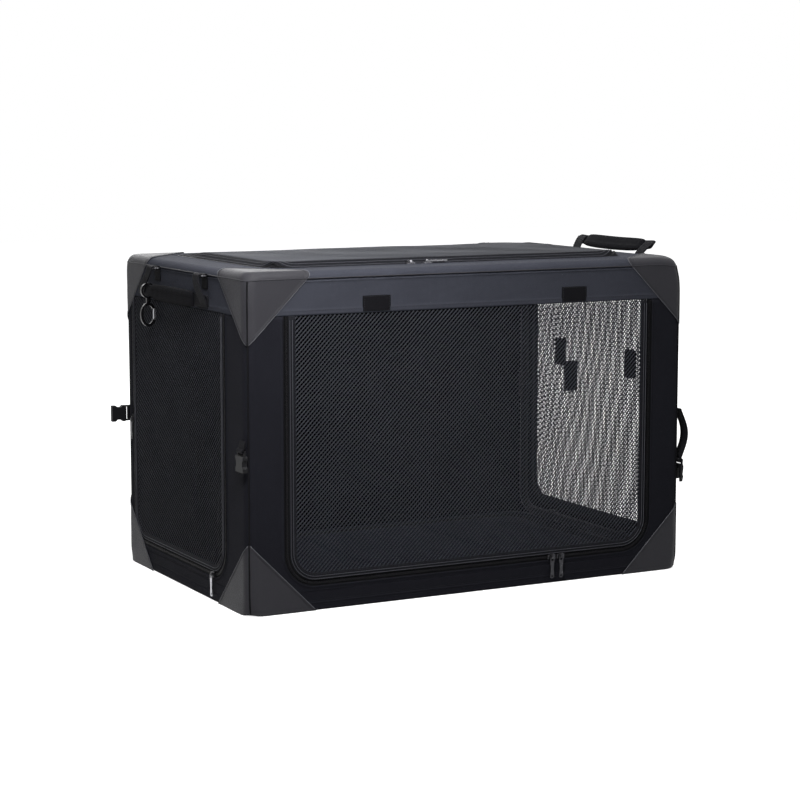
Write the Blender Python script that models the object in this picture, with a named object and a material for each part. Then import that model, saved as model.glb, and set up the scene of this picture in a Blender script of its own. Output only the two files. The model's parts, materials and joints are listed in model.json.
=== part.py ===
"""Folding soft-sided dog crate: steel tube frame, fabric walls, mesh doors and hatch.

Metres, +Z up. The origin is the middle of the underside, +X runs along the long front,
and the front faces -Y. The crate is drawn standing, with every door and zip closed.
"""
import math

import bmesh
import bpy
from mathutils import Matrix, Vector
from mathutils.geometry import tessellate_polygon

# Overall size of the standing crate
LENGTH = 0.767
WIDTH = 0.490
HEIGHT = 0.508

# Clearances
GAP = 0.0003
TURNING_GAP = 0.0004

# Fabric shell
WRAP_THICKNESS = 0.0012
WALL_THICKNESS = 0.004
FLOOR_THICKNESS = 0.006
SKIRT_HEIGHT = 0.030
BAND_DEPTH = 0.066
CORNER_RADIUS = 0.016
EDGE_RADIUS = 0.012
HEM_RADIUS = 0.003
WRAP_LEG = 0.112
WRAP_SPARE = 0.036
CUT_MARGIN = 0.008
WRAP_CUT_MARGIN = 0.020

# Doors and hatch
FRONT_MARGIN = 0.061
END_FRONT_MARGIN = 0.078
END_BACK_MARGIN = 0.028
DOOR_SILL = 0.038
DOOR_HEAD = 0.0012
OPENING_RADIUS = 0.052
ZIP_WIDTH = 0.008
ZIP_SEAT = 0.002
ZIP_RECESS = 0.0004
NET_THICKNESS = 0.002
NET_RIM = 0.010
NET_HOLE_SHARE = 0.80
HATCH_MARGIN_X = 0.063
HATCH_MARGIN_Y = 0.062
HATCH_CROWN = 0.008
FRONT_CELLS = (12, 7)
END_CELLS = (6, 7)
HATCH_CELLS = (11, 6)

# Steel tube frame
TUBE_RADIUS = 0.0075
TUBE_BEND = 0.030
PIVOT_RISE = 0.0165
END_INSET = 0.020
RAIL_INSET = 0.0165
LEG_INSET = 0.033
CLIP_WALL = 0.003
CLIP_WIDTH = 0.016
CLIP_SPREAD = 0.110
CLIP_JAW = 0.003

# Knees
KNEE_OFFSET = 0.010
KNUCKLE_HEIGHT = 0.022
KNUCKLE_HALF = 0.008
KNUCKLE_FACE = 0.0057
KNUCKLE_SOCKET = 0.008
EAR_RADIUS = 0.0038
EAR_THICKNESS = 0.0036
EAR_REACH = 0.013
PIN_RADIUS = 0.0018
PIN_HEAD = 0.0030
PIN_HEAD_THICKNESS = 0.0010
EAR_STEP = 0.0004
EAR_ROOT = 0.0006
EAR_LOW_ANGLE = -40
EAR_HIGH_ANGLE = 190

# Zip sliders and pulls
SLIDER_LENGTH = 0.014
SLIDER_WIDTH = 0.010
SLIDER_PLATE = 0.0020
SLIDER_NOSE = 0.6
SLIDER_WAIST = 0.75
SLIDER_HEEL = 0.7
SLIDER_WAIST_PLACE = 0.3
SLIDER_SHOULDER_PLACE = 0.6
ARCH_HOLE_SHARE = 0.78
ARCH_WIDTH = 0.0034
ARCH_LENGTH = 0.0055
ARCH_HEIGHT = 0.0058
PULL_PIN_RISE = 0.0038
PULL_THICKNESS = 0.0016
PULL_LENGTH = 0.034
PULL_WIDTH = 0.0075
PULL_WAIST = 0.7
PULL_WAIST_PLACE = 0.55
PULL_HOLE_SHARE = 0.45
SLIDER_PAIR = 0.0165
FRONT_SLIDER_X = 0.1385
TOP_SLIDER_X = -0.0785
TOP_SLIDER_PAIR = 0.030
LEFT_LOW_SLIDER_IN = 0.052
LEFT_BACK_SLIDER_Z = 0.240

# Handles
HANDLE_DROP_FROM_TOP = 0.014
ANCHOR_SPREAD = 0.095
WEBBING = 0.0016
ANCHOR_WIDTH = 0.022
ANCHOR_TAIL = 0.020
SEWN_IN = 0.0004
EYE_WRAP_ANGLE = 240
RING_RADIUS = 0.0015
RING_REACH = 0.0095
RING_HALF = 0.0145
HANDLE_REACH = 0.036
HANDLE_SPREAD = 0.141
HANDLE_STRAP = 0.018
HANDLE_LEAN = 0.011
GRIP_LENGTH = 0.170
GRIP_HALF_WIDTH = 0.013
GRIP_HALF_DEPTH = 0.0048
GRIP_LIP = 0.0012
GRIP_SQUARENESS = 0.45
RAISED_ANGLE = math.radians(140)

# Snap hook
HOOK_POSITION = 0.103
HOOK_EYE_INNER = 0.0096
HOOK_EYE_OUTER = 0.0122
HOOK_CENTRE = 0.038
HOOK_HALF_WIDTH = 0.013
HOOK_HALF_HEIGHT = 0.019
HOOK_WIRE = 0.0042
HOOK_THICKNESS = 0.006
HOOK_NECK_THICKNESS = 0.0054
HOOK_LOOP_THICKNESS = 0.0048
GATE_THICKNESS = 0.0042
HOOK_NECK_HALF = 0.00294
HOOK_HINGE_ANGLE = 30
HOOK_NOSE_ANGLE = 35
GATE_HALF = 0.0016

# Strap tabs on the upright edges
TAB_HEIGHT = 0.262
TAB_WIDTH = 0.020
TAB_THICKNESS = 0.0024
TAB_SHORT = 0.015
TAB_LONG = 0.085
TAB_BULGE = 0.013
TAB_BULGE_POWER = 1.2
TAB_LAP_IN = 1.1
TAB_INSET = 0.012
SIDE_TAB_HEIGHT = 0.245
SIDE_TAB_INSET = 0.020
BUCKLE_WIDTH = 0.026
BUCKLE_LENGTH = 0.032
SOCKET_THICKNESS = 0.008
PRONG_THICKNESS = 0.0048
PRONG_LENGTH = 0.022
BUCKLE_BAR = 0.0025
BUCKLE_SLOT = 0.004
BUCKLE_CORNER = 0.002
BUCKLE_TOP_HALF = 0.012
SOCKET_WAIST_HALF = 0.0104
SOCKET_WINDOW_START = 0.006
SOCKET_WINDOW_END = 0.009
PRONG_BASE = 0.006
PRONG_BARB_START = 0.010
PRONG_BARB_END = 0.013
PRONG_NECK_HALF = 0.0114
PRONG_TIP_HALF = 0.0106
PRONG_INNER_TIP = 0.0082
PRONG_INNER_ROOT = 0.0080
GUIDE_ROOT_HALF = 0.0021
GUIDE_TIP_HALF = 0.0013
GUIDE_SHORTER = 0.004

# Floor mat
MAT_CLEAR_X = 0.0385
MAT_CLEAR_Y = 0.045
MAT_THICKNESS = 0.024
MAT_EDGE = 0.006
MAT_CHANNEL = 0.005
MAT_CHANNEL_PLACE = 1 / 3
MAT_CHANNEL_SHARPNESS = 18
MAT_DRAWN_IN = 0.004
MAT_CELLS = (24, 12)

# Faces of round shapes
CORNER_STEPS = 4
EDGE_STEPS = 4
OPENING_STEPS = 12
BEND_STEPS = 6
CIRCLE_SIDES = 20
SMALL_SIDES = 12
EAR_STEPS = 10
CLIP_STEPS = 8
CLIP_SIDES = 16
PULL_STEPS = 8
PULL_SIDES = 10
EYE_STEPS = 10
TAB_EYE_STEPS = 14
HOOK_STEPS = 18
GATE_STEPS = 6
RING_SIDES = 6
GRIP_STATIONS = 6
GRIP_SIDES = 12
BULGE_STEPS = 8
SHARP_ANGLE = math.radians(35)
TUBE_STEPS = 2

# Derived planes and places
SKIN_X = LENGTH / 2 - WRAP_THICKNESS - GAP
SKIN_Y = WIDTH / 2 - WRAP_THICKNESS - GAP
SKIN_TOP = HEIGHT - WRAP_THICKNESS - GAP
BAND_BOTTOM = HEIGHT - BAND_DEPTH
WALL_BOTTOM = SKIRT_HEIGHT + GAP
WALL_TOP = BAND_BOTTOM - GAP
END_X = LENGTH / 2 - END_INSET
RAIL_Y = WIDTH / 2 - RAIL_INSET
LEG_Y = WIDTH / 2 - LEG_INSET
BASE_RAIL_Z = FLOOR_THICKNESS + GAP + TUBE_RADIUS
TOP_RAIL_Z = SKIN_TOP - WALL_THICKNESS - GAP - TUBE_RADIUS
LOW_PIVOT_Z = BASE_RAIL_Z + PIVOT_RISE
HIGH_PIVOT_Z = TOP_RAIL_Z - PIVOT_RISE
KNEE_Z = (LOW_PIVOT_Z + HIGH_PIVOT_Z) / 2
DOOR_TOP = WALL_TOP - DOOR_HEAD
HANDLE_Z = HEIGHT - HANDLE_DROP_FROM_TOP
EYE_INNER = RING_RADIUS + GAP
EYE_OUTER = EYE_INNER + WEBBING
INNER_BAR = SKIN_X - SEWN_IN + EYE_OUTER
HANDLE_X = INNER_BAR + RING_REACH
STRAP_OFFSET = EYE_INNER + WEBBING / 2
HOOK_X = HANDLE_X + STRAP_OFFSET
HOOK_Z = HANDLE_Z - HANDLE_REACH
HATCH_FRONT = -WIDTH / 2 + HATCH_MARGIN_Y
HATCH_BACK = WIDTH / 2 - HATCH_MARGIN_Y
HATCH_HALF = LENGTH / 2 - HATCH_MARGIN_X
FRONT_HALF = LENGTH / 2 - FRONT_MARGIN
END_FRONT = -WIDTH / 2 + END_FRONT_MARGIN
END_BACK = WIDTH / 2 - END_BACK_MARGIN
END_MIDDLE = (END_FRONT + END_BACK) / 2
END_HALF = (END_BACK - END_FRONT) / 2
LEFT_LOW_SLIDER_Y = END_FRONT + LEFT_LOW_SLIDER_IN

TAB_EYE_INNER = BUCKLE_BAR * math.sqrt(0.5) + GAP
TAB_EYE_OUTER = TAB_EYE_INNER + TAB_THICKNESS / 2
TAB_Y = WIDTH / 2 - TAB_INSET
SHORT_TAB_REACH = max(SOCKET_THICKNESS / 2, TAB_EYE_OUTER) + GAP
LONG_TAB_REACH = TAB_EYE_OUTER + GAP

LEFT, RIGHT = -1, 1
FRONT, BACK = -1, 1
CORNERS = (("front_left", LEFT, FRONT), ("front_right", RIGHT, FRONT),
           ("back_left", LEFT, BACK), ("back_right", RIGHT, BACK))


def material(name, colour, roughness, metallic=0.0):
    """Principled material with one plain colour."""
    made = bpy.data.materials.new(name)
    made.use_nodes = True
    shader = made.node_tree.nodes["Principled BSDF"]
    shader.inputs["Base Color"].default_value = (*colour, 1.0)
    shader.inputs["Roughness"].default_value = roughness
    shader.inputs["Metallic"].default_value = metallic
    made.diffuse_color = (*colour, 1.0)
    return made


def make_materials():
    """The crate's finishes, by name."""
    return {
        "oxford": material("oxford", (0.020, 0.020, 0.024), 0.85),
        "leather": material("leather", (0.045, 0.045, 0.050), 0.60),
        "net": material("net", (0.012, 0.012, 0.014), 0.80),
        "steel": material("steel", (0.30, 0.30, 0.31), 0.40, 0.9),
        "webbing": material("webbing", (0.015, 0.015, 0.017), 0.80),
        "grip": material("grip", (0.018, 0.018, 0.020), 0.90),
        "gunmetal": material("gunmetal", (0.16, 0.16, 0.17), 0.35, 1.0),
        "bright": material("bright", (0.55, 0.55, 0.56), 0.25, 1.0),
        "buckle": material("buckle", (0.012, 0.012, 0.013), 0.45),
        "mat": material("mat", (0.020, 0.026, 0.045), 0.90),
    }


def empty(name, place, parent=None):
    """Empty at a world place that carries the pieces of one moving body."""
    made = bpy.data.objects.new(name, None)
    bpy.context.collection.objects.link(made)
    if parent:
        made.parent = parent
        place = Vector(place) - world_place(parent)
    made.location = place
    return made


def world_place(carrier):
    """World place of an unturned empty, from its chain of parents."""
    place = Vector((0, 0, 0))
    while carrier:
        place += Vector(carrier.location)
        carrier = carrier.parent
    return place


def finish(name, bm, surface, carrier):
    """Turn a mesh drawn in world places into an object on its carrier."""
    bmesh.ops.recalc_face_normals(bm, faces=bm.faces)
    bmesh.ops.translate(bm, verts=bm.verts, vec=-world_place(carrier))
    mesh = bpy.data.meshes.new(name)
    bm.to_mesh(mesh)
    bm.free()
    mesh.shade_smooth()
    mesh.set_sharp_from_angle(angle=SHARP_ANGLE)
    mesh.materials.append(surface)
    made = bpy.data.objects.new(name, mesh)
    bpy.context.collection.objects.link(made)
    made.parent = carrier
    return made


def hidden_guide(name, bm, carrier):
    """Body for a Boolean to cut or join with, drawn as wire and left out of the part."""
    bmesh.ops.recalc_face_normals(bm, faces=bm.faces)
    bmesh.ops.translate(bm, verts=bm.verts, vec=-world_place(carrier))
    mesh = bpy.data.meshes.new(name)
    bm.to_mesh(mesh)
    bm.free()
    made = bpy.data.objects.new(name, mesh)
    bpy.context.collection.objects.link(made)
    made.parent = carrier
    made.hide_render = True
    made.display_type = "WIRE"
    return made


def boolean(target, cutter, operation):
    """Add an exact Boolean to the target."""
    modifier = target.modifiers.new(operation.lower(), "BOOLEAN")
    modifier.operation = operation
    modifier.solver = "EXACT"
    modifier.object = cutter


def fused(bodies):
    """One mesh from closed bodies that overlap, by exact unions."""
    objects = []
    for bm in bodies:
        made = bpy.data.objects.new("fusing", closed_mesh("fusing", bm))
        bpy.context.collection.objects.link(made)
        objects.append(made)
    for other in objects[1:]:
        boolean(objects[0], other, "UNION")
    bpy.context.view_layer.update()
    seen = objects[0].evaluated_get(bpy.context.evaluated_depsgraph_get())
    result = bpy.data.meshes.new_from_object(seen)
    for made in objects:
        bpy.data.objects.remove(made)
    return result


def add_copy(bm, mesh, matrix):
    """Add a placed copy of a mesh to a body that is still being drawn."""
    placed = mesh.copy()
    placed.transform(matrix)
    bm.from_mesh(placed)
    bpy.data.meshes.remove(placed)


def place_mesh(name, mesh, surface, carrier, turn=None):
    """Object of a ready mesh at its carrier's origin, turned or moved by a matrix."""
    if not mesh.materials or mesh.materials[0] != surface:
        mesh.materials.clear()
        mesh.materials.append(surface)
        mesh.shade_smooth()
        mesh.set_sharp_from_angle(angle=SHARP_ANGLE)
    made = bpy.data.objects.new(name, mesh)
    bpy.context.collection.objects.link(made)
    made.parent = carrier
    if turn:
        made.matrix_local = turn
    return made


def facing(place, across, up):
    """Matrix with local X across, local Y up and local Z outward, at a place."""
    across = Vector(across)
    up = Vector(up)
    turn = Matrix((across, up, across.cross(up))).transposed()
    return Matrix.Translation(place) @ turn.to_4x4()


def prism(bm, loops, depth, matrix=None):
    """Extrude a flat outline, with any holes listed after it, along local Z."""
    matrix = matrix or Matrix.Identity(4)
    flat = [[Vector((x, y, 0)) for x, y in loop] for loop in loops]
    points = [point for loop in flat for point in loop]
    low = [bm.verts.new(matrix @ point) for point in points]
    high = [bm.verts.new(matrix @ (point + Vector((0, 0, depth)))) for point in points]
    if len(loops) == 1:
        bm.faces.new(low)
        bm.faces.new(high)
    else:
        for corners in tessellate_polygon(flat):
            bm.faces.new([low[i] for i in corners])
            bm.faces.new([high[i] for i in corners])
    start = 0
    for loop in flat:
        count = len(loop)
        for i in range(count):
            a = start + i
            b = start + (i + 1) % count
            bm.faces.new((low[a], low[b], high[b], high[a]))
        start += count


def loft(bm, rings, closed=False):
    """Join rings of equal length in order, then cap both ends or close the loop."""
    rows = [[bm.verts.new(point) for point in ring] for ring in rings]
    pairs = list(zip(rows, rows[1:]))
    if closed:
        pairs.append((rows[-1], rows[0]))
    for first, second in pairs:
        count = len(first)
        for i in range(count):
            j = (i + 1) % count
            bm.faces.new((first[i], first[j], second[j], second[i]))
    if not closed:
        bm.faces.new(rows[0])
        bm.faces.new(rows[-1])


def arc(centre_x, centre_y, radius, start, end, steps):
    """Points on a circle from one angle to another, in degrees, ends included."""
    points = []
    for i in range(steps + 1):
        angle = math.radians(start + (end - start) * i / steps)
        points.append((centre_x + radius * math.cos(angle), centre_y + radius * math.sin(angle)))
    return points


def circle(centre_x, centre_y, radius, sides=CIRCLE_SIDES):
    """Closed circle as a hole or an outline."""
    return arc(centre_x, centre_y, radius, 0, 360, sides)[:-1]


def rounded_outline(half_x, half_y, radius, steps=CORNER_STEPS):
    """Rectangle about the origin with round corners, anticlockwise."""
    inner_x = half_x - radius
    inner_y = half_y - radius
    points = arc(inner_x, inner_y, radius, 0, 90, steps)
    points += arc(-inner_x, inner_y, radius, 90, 180, steps)
    points += arc(-inner_x, -inner_y, radius, 180, 270, steps)
    points += arc(inner_x, -inner_y, radius, 270, 360, steps)
    return points


def shell_ring(inset, z):
    """Ring of the fabric shell's plan, drawn in from the skin by an inset."""
    outline = rounded_outline(SKIN_X - inset, SKIN_Y - inset, CORNER_RADIUS - inset)
    return [Vector((x, y, z)) for x, y in outline]


def u_path(left, right, bottom, top, radius):
    """Edge of an opening: down one side, round along the bottom and up the other."""
    points = [(left, top)]
    points += arc(left + radius, bottom + radius, radius, 180, 270, OPENING_STEPS)
    points += arc(right - radius, bottom + radius, radius, 270, 360, OPENING_STEPS)
    points.append((right, top))
    return points


def u_strip(left, right, bottom, top, radius, width):
    """Strip of even width along the inside of an opening's edge."""
    outer = u_path(left, right, bottom, top, radius)
    inner = u_path(left + width, right - width, bottom + width, top, radius - width)
    return outer + inner[::-1]


def lattice(bm, width, height, cells, radius, matrix, crown=0.0):
    """Net with a solid rim and a diamond gap in every inner cell.

    Rows are drawn in near the bottom, so that the two lower corners are round, and a
    crown lifts the middle by a parabola each way.
    """
    half = width / 2

    def place(x, y, depth):
        if y < radius:
            x *= (half - radius + math.sqrt(radius ** 2 - (radius - y) ** 2)) / half
        lift = crown * (1 - (x / half) ** 2) * (1 - (2 * y / height - 1) ** 2)
        return bm.verts.new(matrix @ Vector((x, y, depth + lift)))

    xs = net_lines(-half, half, cells[0])
    ys = net_lines(0, height, cells[1])
    layers = []
    for depth in (0.0, NET_THICKNESS):
        grid = [[place(x, y, depth) for x in xs] for y in ys]
        sides = []
        for j in range(len(ys) - 1):
            curved = [y for y in corner_rows(radius) if ys[j] < y < ys[j + 1]]
            sides.append([[place(x, y, depth) for y in curved] for x in (xs[0], xs[-1])])
        layers.append((grid, sides))
    for j in range(len(ys) - 1):
        for i in range(len(xs) - 1):
            if i in (0, len(xs) - 2) or j in (0, len(ys) - 2):
                net_rim(bm, layers, i, j)
            else:
                net_cell(bm, layers, xs, ys, i, j, place)
    net_edge(bm, [net_outline(grid, sides) for grid, sides in layers])


def net_lines(low, high, count):
    """Even lines between two rims, with the outer edges of the rims."""
    step = (high - low - 2 * NET_RIM) / count
    return [low] + [low + NET_RIM + step * i for i in range(count + 1)] + [high]


def corner_rows(radius):
    """Heights of the points that round a lower corner."""
    return [y for _, y in arc(0, radius, radius, 270, 360, CORNER_STEPS)]


def net_rim(bm, layers, i, j):
    """Solid patch of the rim, which follows the round corner where it is outermost."""
    for grid, sides in layers:
        left, right = sides[j]
        patch = [grid[j][i], grid[j][i + 1]]
        patch += right if i == len(grid[0]) - 2 else []
        patch += [grid[j + 1][i + 1], grid[j + 1][i]]
        patch += left[::-1] if i == 0 else []
        bm.faces.new(patch)


def net_cell(bm, layers, xs, ys, i, j, place):
    """One cell of the net: a frame round a diamond gap."""
    centre_x = (xs[i] + xs[i + 1]) / 2
    centre_y = (ys[j] + ys[j + 1]) / 2
    reach_x = (xs[i + 1] - xs[i]) / 2 * NET_HOLE_SHARE
    reach_y = (ys[j + 1] - ys[j]) / 2 * NET_HOLE_SHARE
    diamonds = []
    for (grid, _), depth in zip(layers, (0.0, NET_THICKNESS)):
        corner = [grid[j][i], grid[j][i + 1], grid[j + 1][i + 1], grid[j + 1][i]]
        gap = [
            place(centre_x, centre_y - reach_y, depth),
            place(centre_x + reach_x, centre_y, depth),
            place(centre_x, centre_y + reach_y, depth),
            place(centre_x - reach_x, centre_y, depth),
        ]
        diamonds.append(gap)
        for k in range(4):
            bm.faces.new((corner[k], corner[(k + 1) % 4], gap[k]))
            bm.faces.new((corner[k], gap[k], gap[(k + 3) % 4]))
    net_edge(bm, diamonds)


def net_outline(grid, sides):
    """Outside of a net as one loop of its points."""
    loop = grid[0][:-1]
    for row, (_, right) in zip(grid, sides):
        loop += [row[-1]] + right
    loop += grid[-1][:0:-1]
    for row, (left, _) in zip(grid[:0:-1], sides[::-1]):
        loop += [row[0]] + left[::-1]
    return loop


def net_edge(bm, loops):
    """Narrow faces between the front and back of an edge."""
    front, back = loops
    for i in range(len(front)):
        j = (i + 1) % len(front)
        bm.faces.new((front[i], front[j], back[j], back[i]))


def tube(name, points, surface, carrier, closed=False):
    """Steel tube along points, as a curve with filled ends."""
    curve = bpy.data.curves.new(name, "CURVE")
    curve.dimensions = "3D"
    curve.bevel_depth = TUBE_RADIUS
    curve.bevel_resolution = TUBE_STEPS
    curve.use_fill_caps = True
    spline = curve.splines.new("POLY")
    spline.points.add(len(points) - 1)
    for spot, point in zip(spline.points, points):
        spot.co = (*point, 1.0)
    spline.use_cyclic_u = closed
    bent = bpy.data.objects.new("bending", curve)
    mesh = bpy.data.meshes.new_from_object(bent)
    bpy.data.objects.remove(bent)
    bm = bmesh.new()
    bm.from_mesh(mesh)
    bmesh.ops.remove_doubles(bm, verts=bm.verts, dist=GAP / 10)
    return finish(name, bm, surface, carrier)


def base_tray(surfaces, carrier):
    """Floor board with the stiff skirt that stands up round it."""
    rings = [shell_ring(WALL_THICKNESS, FLOOR_THICKNESS), shell_ring(WALL_THICKNESS, SKIRT_HEIGHT)]
    rings.append(shell_ring(0, SKIRT_HEIGHT))
    for i in range(EDGE_STEPS + 1):
        angle = math.pi / 2 * i / EDGE_STEPS
        rings.append(shell_ring(HEM_RADIUS * (1 - math.cos(angle)), HEM_RADIUS * (1 - math.sin(angle))))
    bm = bmesh.new()
    loft(bm, rings)
    finish("base_tray", bm, surfaces["oxford"], carrier)


def top_cover(surfaces, carrier):
    """Stiff lid: the band round the sides, the border round the hatch and its zip."""
    rings = [shell_ring(WALL_THICKNESS, SKIN_TOP - WALL_THICKNESS), shell_ring(WALL_THICKNESS, BAND_BOTTOM)]
    rings.append(shell_ring(0, BAND_BOTTOM))
    for i in range(EDGE_STEPS + 1):
        angle = math.pi / 2 * i / EDGE_STEPS
        rise = SKIN_TOP - EDGE_RADIUS * (1 - math.sin(angle))
        rings.append(shell_ring(EDGE_RADIUS * (1 - math.cos(angle)), rise))
    bm = bmesh.new()
    loft(bm, rings)
    cover = finish("top_cover", bm, surfaces["oxford"], carrier)
    cut = bmesh.new()
    edge = u_path(-HATCH_HALF, HATCH_HALF, HATCH_FRONT, HATCH_BACK, OPENING_RADIUS)
    prism(cut, [edge], 2 * CUT_MARGIN, Matrix.Translation((0, 0, SKIN_TOP - CUT_MARGIN)))
    boolean(cover, hidden_guide("cut_hatch", cut, carrier), "DIFFERENCE")
    tape = bmesh.new()
    strip = zip_outline(HATCH_HALF, HATCH_FRONT, HATCH_BACK - GAP)
    prism(tape, [strip], NET_THICKNESS, Matrix.Translation((0, 0, SKIN_TOP - ZIP_RECESS - NET_THICKNESS)))
    boolean(cover, hidden_guide("hatch_zip_tape", tape, carrier), "UNION")
    boolean(cover, handle_anchors(carrier), "UNION")


def long_wall_outline(side):
    """Plan of the front or back wall, which turns both upright corners."""
    corner_x = SKIN_X - CORNER_RADIUS
    corner_y = SKIN_Y - CORNER_RADIUS
    inner = CORNER_RADIUS - WALL_THICKNESS
    points = arc(-corner_x, -corner_y, CORNER_RADIUS, 180, 270, CORNER_STEPS)
    points += arc(corner_x, -corner_y, CORNER_RADIUS, 270, 360, CORNER_STEPS)
    points += arc(corner_x, -corner_y, inner, 360, 270, CORNER_STEPS)
    points += arc(-corner_x, -corner_y, inner, 270, 180, CORNER_STEPS)
    return [(x, -side * y) for x, y in points]


def long_wall(name, side, surfaces, carrier):
    """Front or back wall between the skirt and the band."""
    bm = bmesh.new()
    prism(bm, [long_wall_outline(side)], WALL_TOP - WALL_BOTTOM, Matrix.Translation((0, 0, WALL_BOTTOM)))
    return finish(name, bm, surfaces["oxford"], carrier)


def front_wall(surfaces, carrier):
    """Front wall, open from the sill to the band for the front door, with its zip."""
    wall = long_wall("front_wall", FRONT, surfaces, carrier)
    edge = u_path(-FRONT_HALF, FRONT_HALF, DOOR_SILL, HEIGHT, OPENING_RADIUS)
    cut = bmesh.new()
    prism(cut, [edge], 2 * CUT_MARGIN, facing((0, -SKIN_Y + CUT_MARGIN, 0), (1, 0, 0), (0, 0, 1)))
    boolean(wall, hidden_guide("cut_front_opening", cut, carrier), "DIFFERENCE")
    seat = facing((0, -SKIN_Y + ZIP_RECESS + NET_THICKNESS, 0), (1, 0, 0), (0, 0, 1))
    join_zip(wall, "front_zip_tape", FRONT_HALF, seat, carrier)


def end_facing(side, depth=0.0):
    """Local frame of an end: across runs along Y, up along Z, outward from the end."""
    return facing((side * (SKIN_X - depth), END_MIDDLE, 0), (0, side, 0), (0, 0, 1))


def end_wall(name, side, surfaces, carrier):
    """End wall between the long walls, as a U round its door, with its zip."""
    reach = SKIN_Y - CORNER_RADIUS - GAP
    low = -reach - END_MIDDLE
    high = reach - END_MIDDLE
    if side == LEFT:
        low, high = -high, -low
    outline = [(low, WALL_TOP), (low, WALL_BOTTOM), (high, WALL_BOTTOM), (high, WALL_TOP)]
    outline += u_path(-END_HALF, END_HALF, DOOR_SILL, WALL_TOP, OPENING_RADIUS)[::-1]
    bm = bmesh.new()
    prism(bm, [outline], WALL_THICKNESS, end_facing(side, WALL_THICKNESS))
    wall = finish(name, bm, surfaces["oxford"], carrier)
    join_zip(wall, name + "_zip_tape", END_HALF, end_facing(side, ZIP_RECESS + NET_THICKNESS), carrier)


def zip_outline(half, bottom, top):
    """Zip tape along a U-shaped opening, sewn in a little way behind its edge."""
    return u_strip(-half - ZIP_SEAT, half + ZIP_SEAT, bottom - ZIP_SEAT, top, OPENING_RADIUS + ZIP_SEAT,
                   ZIP_WIDTH + ZIP_SEAT)


def join_zip(wall, name, half, matrix, carrier):
    """Join a zip tape to the wall that it is sewn to."""
    tape = bmesh.new()
    prism(tape, [zip_outline(half, DOOR_SILL, WALL_TOP - GAP)], NET_THICKNESS, matrix)
    boolean(wall, hidden_guide(name, tape, carrier), "UNION")


def door(name, half, cells, matrix, surfaces, carrier):
    """Mesh door inside its zip, sewn along its top edge."""
    inset = ZIP_WIDTH + GAP
    low = DOOR_SILL + inset
    bm = bmesh.new()
    lattice(bm, 2 * (half - inset), DOOR_TOP - low, cells, OPENING_RADIUS - inset,
            matrix @ Matrix.Translation((0, low, 0)))
    finish(name, bm, surfaces["net"], carrier)


def hatch(surfaces, carrier):
    """Crowned mesh hatch inside its zip, sewn along its back edge."""
    inset = ZIP_WIDTH + GAP
    low = HATCH_FRONT + inset
    level = Matrix.Translation((0, low, SKIN_TOP - NET_THICKNESS))
    bm = bmesh.new()
    lattice(bm, 2 * (HATCH_HALF - inset), HATCH_BACK - GAP - low, HATCH_CELLS, OPENING_RADIUS - inset,
            level, HATCH_CROWN)
    finish("top_door", bm, surfaces["net"], carrier)


def wrap_cutter(name, side_x, side_y, z_corner, z_inward, carrier):
    """Pyramid that keeps only the part of a shell near one corner."""
    margin = WRAP_CUT_MARGIN
    reach = WRAP_LEG + 3 * margin
    tip = Vector((side_x * (LENGTH / 2 + margin), side_y * (WIDTH / 2 + margin),
                  z_corner - z_inward * margin))
    corners = [tip, tip - Vector((side_x * reach, 0, 0)), tip - Vector((0, side_y * reach, 0)),
               tip + Vector((0, 0, z_inward * reach))]
    bm = bmesh.new()
    verts = [bm.verts.new(corner) for corner in corners]
    for trio in ((0, 1, 2), (0, 1, 3), (0, 2, 3), (1, 2, 3)):
        bm.faces.new([verts[i] for i in trio])
    return hidden_guide(name, bm, carrier)


def wrap_ring(inset, z):
    """Ring of the corner wraps' outer surface, drawn in by an inset."""
    outline = rounded_outline(LENGTH / 2 - inset, WIDTH / 2 - inset, CORNER_RADIUS + WRAP_THICKNESS - inset)
    return [Vector((x, y, z)) for x, y in outline]


def upper_wrap_shell():
    """Closed cap over the whole top, as thick as the faux leather."""
    low = HEIGHT - WRAP_LEG - WRAP_SPARE
    outer = [wrap_ring(0, low)]
    inner = [wrap_ring(WRAP_THICKNESS, low)]
    for i in range(EDGE_STEPS + 1):
        angle = math.pi / 2 * i / EDGE_STEPS
        aside = 1 - math.cos(angle)
        below = 1 - math.sin(angle)
        edge = EDGE_RADIUS + WRAP_THICKNESS
        outer.append(wrap_ring(edge * aside, HEIGHT - edge * below))
        inner.append(wrap_ring(WRAP_THICKNESS + EDGE_RADIUS * aside,
                               HEIGHT - WRAP_THICKNESS - EDGE_RADIUS * below))
    bm = bmesh.new()
    loft(bm, inner[::-1] + outer)
    return bm


def lower_wrap_shell():
    """Closed sleeve round the whole base, as thick as the faux leather."""
    high = WRAP_LEG + WRAP_SPARE
    rings = [wrap_ring(0, GAP), wrap_ring(0, high)]
    rings += [wrap_ring(WRAP_THICKNESS, high), wrap_ring(WRAP_THICKNESS, GAP)]
    bm = bmesh.new()
    loft(bm, rings, closed=True)
    return bm


def corner_wraps(level, shell, z_corner, z_inward, surfaces, carrier):
    """Faux-leather wraps over four corners, each cut from one shell."""
    for corner, side_x, side_y in CORNERS:
        name = corner + "_" + level + "_wrap"
        wrap = finish(name, shell(), surfaces["leather"], carrier)
        boolean(wrap, wrap_cutter("keep_" + name, side_x, side_y, z_corner, z_inward, carrier), "INTERSECT")


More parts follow.
